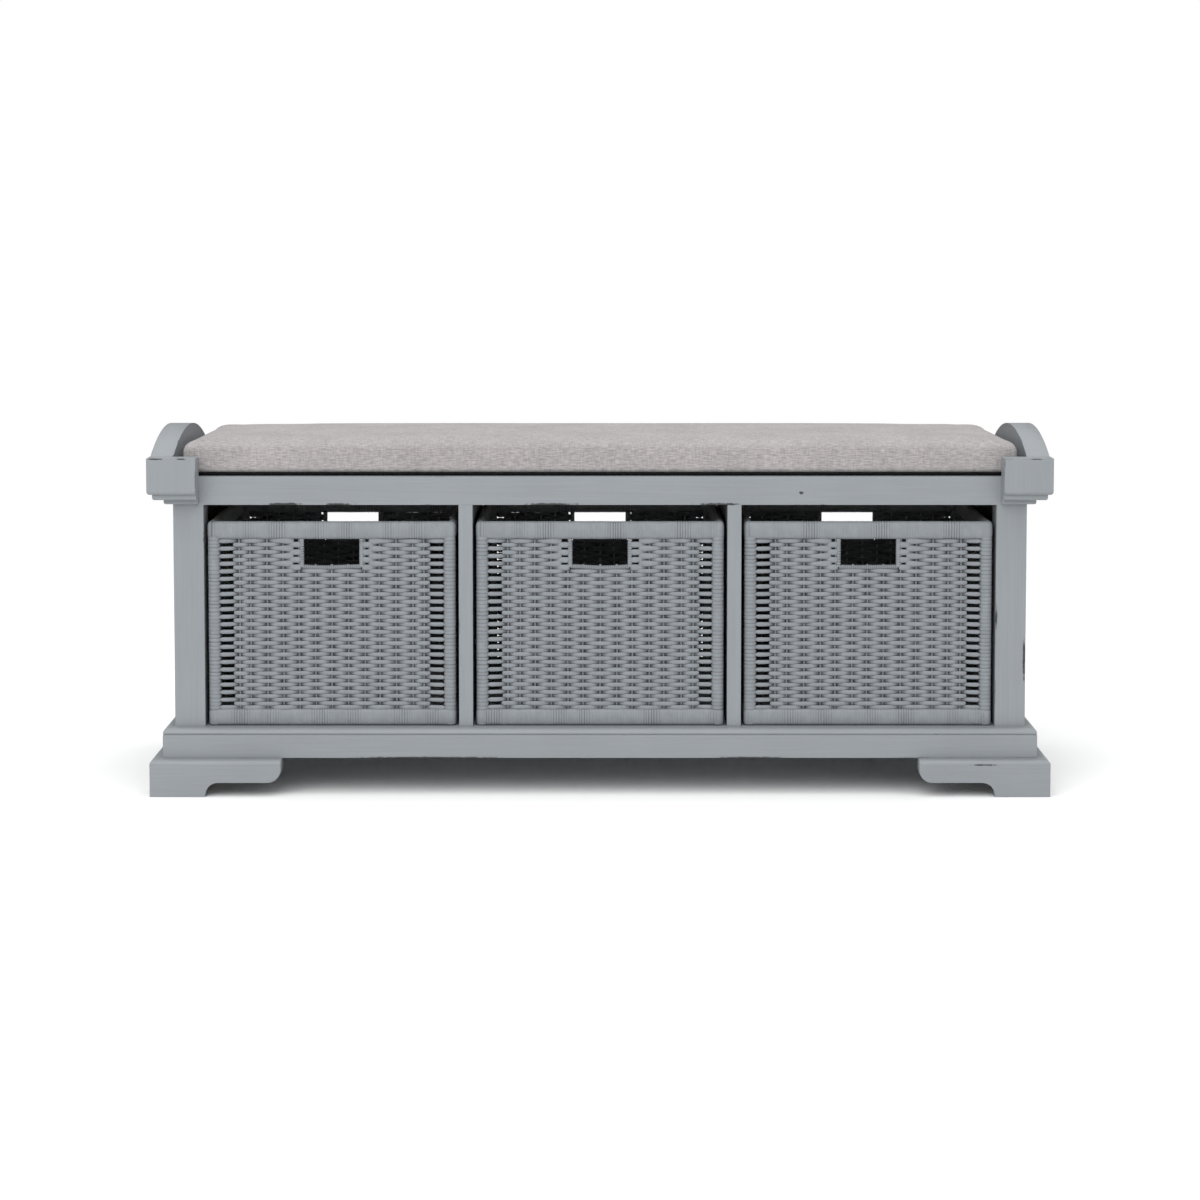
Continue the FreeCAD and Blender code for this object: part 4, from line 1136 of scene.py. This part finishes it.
class BENCH_OT_inner_timber(bpy.types.Operator):
    """Finishes the deck, cleats, blocks and fasteners that stay unpainted."""

    bl_idname = "bench.inner_timber"
    bl_label = "Inner timber and fasteners"
    bl_options = {"REGISTER", "UNDO"}

    def execute(self, context):
        for name in ("seat_deck", "deck_cleats", "foot_glue_blocks", "base_corner_blocks"):
            soften_edges(finish_board(name, "bare pine"), 0.4 * MM)
        finish_board("dowels", "beech")
        finish_board("screws", "bright zinc")
        return {"FINISHED"}


# --- Seat pad -------------------------------------------------------------------


def solid_pad(low, high, top_edge, bottom_edge):
    """The uncut foam: a box, its upper edges and corners more rounded than its lower ones."""
    mesh = bpy.data.meshes.new("pad_start")
    work = bmesh.new()
    bmesh.ops.create_cube(work, size=1.0)
    for vertex in work.verts:
        vertex.co = Vector((low[i] + (vertex.co[i] + 0.5) * (high[i] - low[i]) for i in range(3)))
    upper = [e for e in work.edges if max(v.co.z for v in e.verts) > (low[2] + high[2]) / 2]
    bmesh.ops.bevel(work, geom=upper, offset=top_edge, segments=5, profile=0.5, affect="EDGES")
    bottom = [e for e in work.edges if all(v.co.z < low[2] + 0.1 * MM for v in e.verts)]
    bmesh.ops.bevel(work, geom=bottom, offset=bottom_edge, segments=3, profile=0.5,
                    affect="EDGES")
    work.to_mesh(mesh)
    work.free()
    made = bpy.data.objects.new("pad_start", mesh)
    bpy.context.scene.collection.objects.link(made)
    return made


def evaluated_copy(source, name):
    """A plain mesh of what the source's modifiers make of it."""
    graph = bpy.context.evaluated_depsgraph_get()
    mesh = bpy.data.meshes.new_from_object(source.evaluated_get(graph))
    mesh.name = name
    return mesh


def replace_mesh(made, mesh):
    old = made.data
    made.modifiers.clear()
    made.data = mesh
    bpy.data.meshes.remove(old)


def fill_with_stuffing(made, settings):
    """Blows the cover up a little by cloth simulation and keeps the result."""
    scene = bpy.context.scene
    cloth = made.modifiers.new("Cloth", "CLOTH")
    cloth.settings.use_pressure = True
    cloth.settings.uniform_pressure_force = settings.pressure
    cloth.settings.effector_weights.gravity = 0.0
    cloth.settings.quality = 5
    cloth.settings.bending_stiffness = 2.0
    pinned = made.vertex_groups.new(name="Pinned")
    floor = min(vertex.co.z for vertex in made.data.vertices)
    held = [v.index for v in made.data.vertices if v.co.z < floor + 4 * MM]
    pinned.add(held, 1.0, "REPLACE")
    cloth.settings.vertex_group_mass = "Pinned"
    cloth.point_cache.frame_end = settings.frames
    for number in range(1, settings.frames + 1):
        scene.frame_set(number)
    swollen = evaluated_copy(made, "pad_swollen")
    scene.frame_set(1)
    return swollen


def crowned_and_tucked(points, low, high, settings):
    """Lets the pad's ends and rear corners fall off and turns its lower edge in."""
    low, high = np.array(low), np.array(high)
    middle, half = (low + high) / 2, (high - low) / 2
    spread = (points - middle) / half
    level = np.clip((spread[:, 2] + 1) / 2, 0, 1)
    across = np.clip(np.abs(spread[:, 0]), 0, 1)
    rear = np.clip((spread[:, 1] + 1) / 2, 0, 1)
    drop = settings.crown * (across ** 2.5 + 0.4 * across ** 6) * (0.3 + 0.7 * rear)
    above = np.clip((points[:, 2] - low[2]) / settings.tuck_height, 0, 1)
    inward = settings.tuck * (1 - above[:, None]) ** 2 / half[:2]
    shaped = points.copy()
    shaped[:, :2] -= spread[:, :2] * half[:2] * inward
    shaped[:, 2] += (settings.crown * 0.25 - drop) * level
    return shaped


class BENCH_OT_cushion(bpy.types.Operator):
    """Makes the stuffed linen seat pad."""

    bl_idname = "bench.cushion"
    bl_label = "Seat pad"
    bl_options = {"REGISTER", "UNDO"}

    def execute(self, context):
        settings = context.scene.bench_linen
        low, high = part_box("cushion")
        end, side = settings.end_room, settings.side_slack
        start_low = (low[0] - end, low[1] + side, low[2] - settings.skirt)
        start_high = (high[0] + end, high[1] - side, high[2] - settings.top_slack)
        made = solid_pad(start_low, start_high, top_edge=8.0 * MM, bottom_edge=1.0 * MM)
        made.name = "seat_pad"
        remesh = made.modifiers.new("Remesh", "REMESH")
        remesh.mode = "VOXEL"
        remesh.voxel_size = settings.voxel
        replace_mesh(made, evaluated_copy(made, "pad_remeshed"))
        before = vertex_array(made.data)
        swollen = fill_with_stuffing(made, settings)
        moved = vertex_array(swollen) - before
        bpy.data.meshes.remove(swollen)
        made.modifiers.clear()
        made.vertex_groups.clear()
        far = np.linalg.norm(moved, axis=1, keepdims=True)
        limited = settings.swell * np.tanh(far / settings.swell)
        moved = moved / np.maximum(far, 1e-9) * limited
        set_vertices(made.data, before + moved)
        shaped = crowned_and_tucked(vertex_array(made.data), start_low, start_high, settings)
        set_vertices(made.data, shaped)
        subdivide = made.modifiers.new("Subdivide", "SUBSURF")
        subdivide.levels = subdivide.render_levels = 1
        replace_mesh(made, evaluated_copy(made, "seat_pad"))
        made.data.shade_smooth()
        attach(made, "bench", "seat_linen", "seat linen", "cushion")
        return {"FINISHED"}


def vertex_array(mesh):
    flat = np.empty(len(mesh.vertices) * 3)
    mesh.vertices.foreach_get("co", flat)
    return flat.reshape(-1, 3)


def set_vertices(mesh, points):
    mesh.vertices.foreach_set("co", points.ravel())
    mesh.update()


class BENCH_OT_cushion_board(bpy.types.Operator):
    """Finishes the covered board and the tapes under the seat pad."""

    bl_idname = "bench.cushion_board"
    bl_label = "Seat pad board"
    bl_options = {"REGISTER", "UNDO"}

    def execute(self, context):
        # Black cloth on the board, partly painted shade for the shadow gap under the pad.
        soften_edges(finish_board("cushion_board", "black cloth and shade"), 0.8 * MM)
        finish_board("hook_and_loop_strips", "black tape")
        return {"FINISHED"}


# --- Stage ----------------------------------------------------------------------


def area_lamp(name, place, target, width, height, power):
    data = bpy.data.lights.new(name, "AREA")
    data.shape = "RECTANGLE"
    data.size, data.size_y = width, height
    data.energy = power
    lamp = bpy.data.objects.new(name, data)
    lamp.location = place
    lamp.rotation_euler = (Vector(target) - Vector(place)).to_track_quat("-Z", "Y").to_euler()
    bpy.context.scene.collection.objects.link(lamp)


def surrounding_light(strength, low_back, low_side):
    """Soft white light, weaker from low behind and beside, in front of a white backdrop."""
    world = bpy.data.worlds.new("Studio")
    bpy.context.scene.world = world
    world.use_nodes = True
    tree = world.node_tree
    tree.nodes.clear()
    way = add_node(tree, "SeparateXYZ", {0: add_node(tree, "TexCoord").outputs["Generated"]})
    behind = ramp(tree, way.outputs[1], -0.1, 0.35)
    low = ramp(tree, way.outputs[2], 0.6, 0.25)
    beside = ramp(tree, maths(tree, "ABSOLUTE", way.outputs[0]), 0.5, 0.85)
    level = ramp(tree, maths(tree, "MULTIPLY", beside, low), 0.0, 1.0, strength, low_side)
    dark = maths(tree, "MULTIPLY", behind, low)
    level = ramp(tree, dark, 0.0, 1.0, level, low_back)
    seen = add_node(tree, "LightPath").outputs["Is Camera Ray"]
    level = add_node(tree, "Mix", {"Factor": seen, "A": level, "B": 1.0}, data_type="FLOAT").outputs[0]
    light = add_node(tree, "Background", {"Color": (1.0, 1.0, 1.0, 1.0), "Strength": level})
    output = tree.nodes.new("ShaderNodeOutputWorld")
    tree.links.new(light.outputs[0], output.inputs[0])


class BENCH_OT_stage(bpy.types.Operator):
    """Sets up the pale floor, the studio lamps and the camera."""

    bl_idname = "bench.stage"
    bl_label = "Stage"
    bl_options = {"REGISTER", "UNDO"}

    def execute(self, context):
        scene = context.scene
        settings = scene.bench_stage
        mesh = bpy.data.meshes.new("floor")
        size = 60.0
        corners = [(-size, -size, 0), (size, -size, 0), (size, size, 0), (-size, size, 0)]
        mesh.from_pydata(corners, [], [(0, 1, 2, 3)])
        floor = bpy.data.objects.new("floor", mesh)
        scene.collection.objects.link(floor)
        mesh.materials.append(finish_named("stage floor"))

        surrounding_light(settings.sky, settings.low_back, settings.low_side)
        area_lamp("Front lamp", place=(-1.2, -3.2, 2.6), target=(0, 0, 0.3),
                  width=3.2, height=2.2, power=settings.key)
        area_lamp("Top lamp", place=(0.3, -0.6, 3.0), target=(0, 0, 0),
                  width=3.0, height=2.4, power=settings.top)

        data = bpy.data.cameras.new("Camera")
        data.lens = settings.lens
        data.sensor_width = 36.0
        data.shift_y = settings.shift
        camera = bpy.data.objects.new("Camera", data)
        camera.location = (0.0, CAD_BOX[0][1] - settings.camera_ahead, settings.camera_height)
        camera.rotation_euler = (math.pi / 2 - settings.tilt, 0.0, 0.0)
        scene.collection.objects.link(camera)
        scene.camera = camera
        scene.view_settings.view_transform = "Standard"
        return {"FINISHED"}


# --- Panel and registration -----------------------------------------------------


class BENCH_PT_panel(bpy.types.Panel):
    """Lists the bench's settings and the operators that make it."""

    bl_idname = "BENCH_PT_panel"
    bl_label = "Entryway bench"
    bl_space_type = "VIEW_3D"
    bl_region_type = "UI"
    bl_category = "Bench"

    def draw(self, context):
        layout = self.layout
        for settings in ("bench_paint", "bench_cane", "bench_linen", "bench_stage"):
            box = layout.box()
            group = getattr(context.scene, settings)
            for name in group.bl_rna.properties.keys():
                if name not in ("rna_type", "name"):
                    box.prop(group, name)
        for operator in OPERATORS:
            layout.operator(operator.bl_idname)


SETTINGS = {"bench_paint": BenchPaint, "bench_cane": BenchCane,
            "bench_linen": BenchLinen, "bench_stage": BenchStage}
OPERATORS = (BENCH_OT_case, BENCH_OT_base, BENCH_OT_arms, BENCH_OT_inner_timber,
             BENCH_OT_cushion_board, BENCH_OT_cushion, BENCH_OT_basket_bars,
             BENCH_OT_basket_walls, BENCH_OT_basket_floor, BENCH_OT_stage)


def register():
    for group in SETTINGS.values():
        bpy.utils.register_class(group)
    for name, group in SETTINGS.items():
        setattr(bpy.types.Scene, name, PointerProperty(type=group))
    for operator in OPERATORS:
        bpy.utils.register_class(operator)
    bpy.utils.register_class(BENCH_PT_panel)


def unregister():
    bpy.utils.unregister_class(BENCH_PT_panel)
    for operator in reversed(OPERATORS):
        bpy.utils.unregister_class(operator)
    for name in SETTINGS:
        delattr(bpy.types.Scene, name)
    for group in reversed(SETTINGS.values()):
        bpy.utils.unregister_class(group)


def main():
    register()
    bpy.ops.bench.case()
    bpy.ops.bench.base()
    bpy.ops.bench.arms()
    bpy.ops.bench.inner_timber()
    bpy.ops.bench.cushion_board()
    bpy.ops.bench.cushion()
    for basket in BASKETS:
        bpy.ops.bench.basket_bars(basket=basket)
        bpy.ops.bench.basket_walls(basket=basket)
        bpy.ops.bench.basket_floor(basket=basket)
    bpy.ops.bench.stage()


if __name__ == "__main__":
    main()
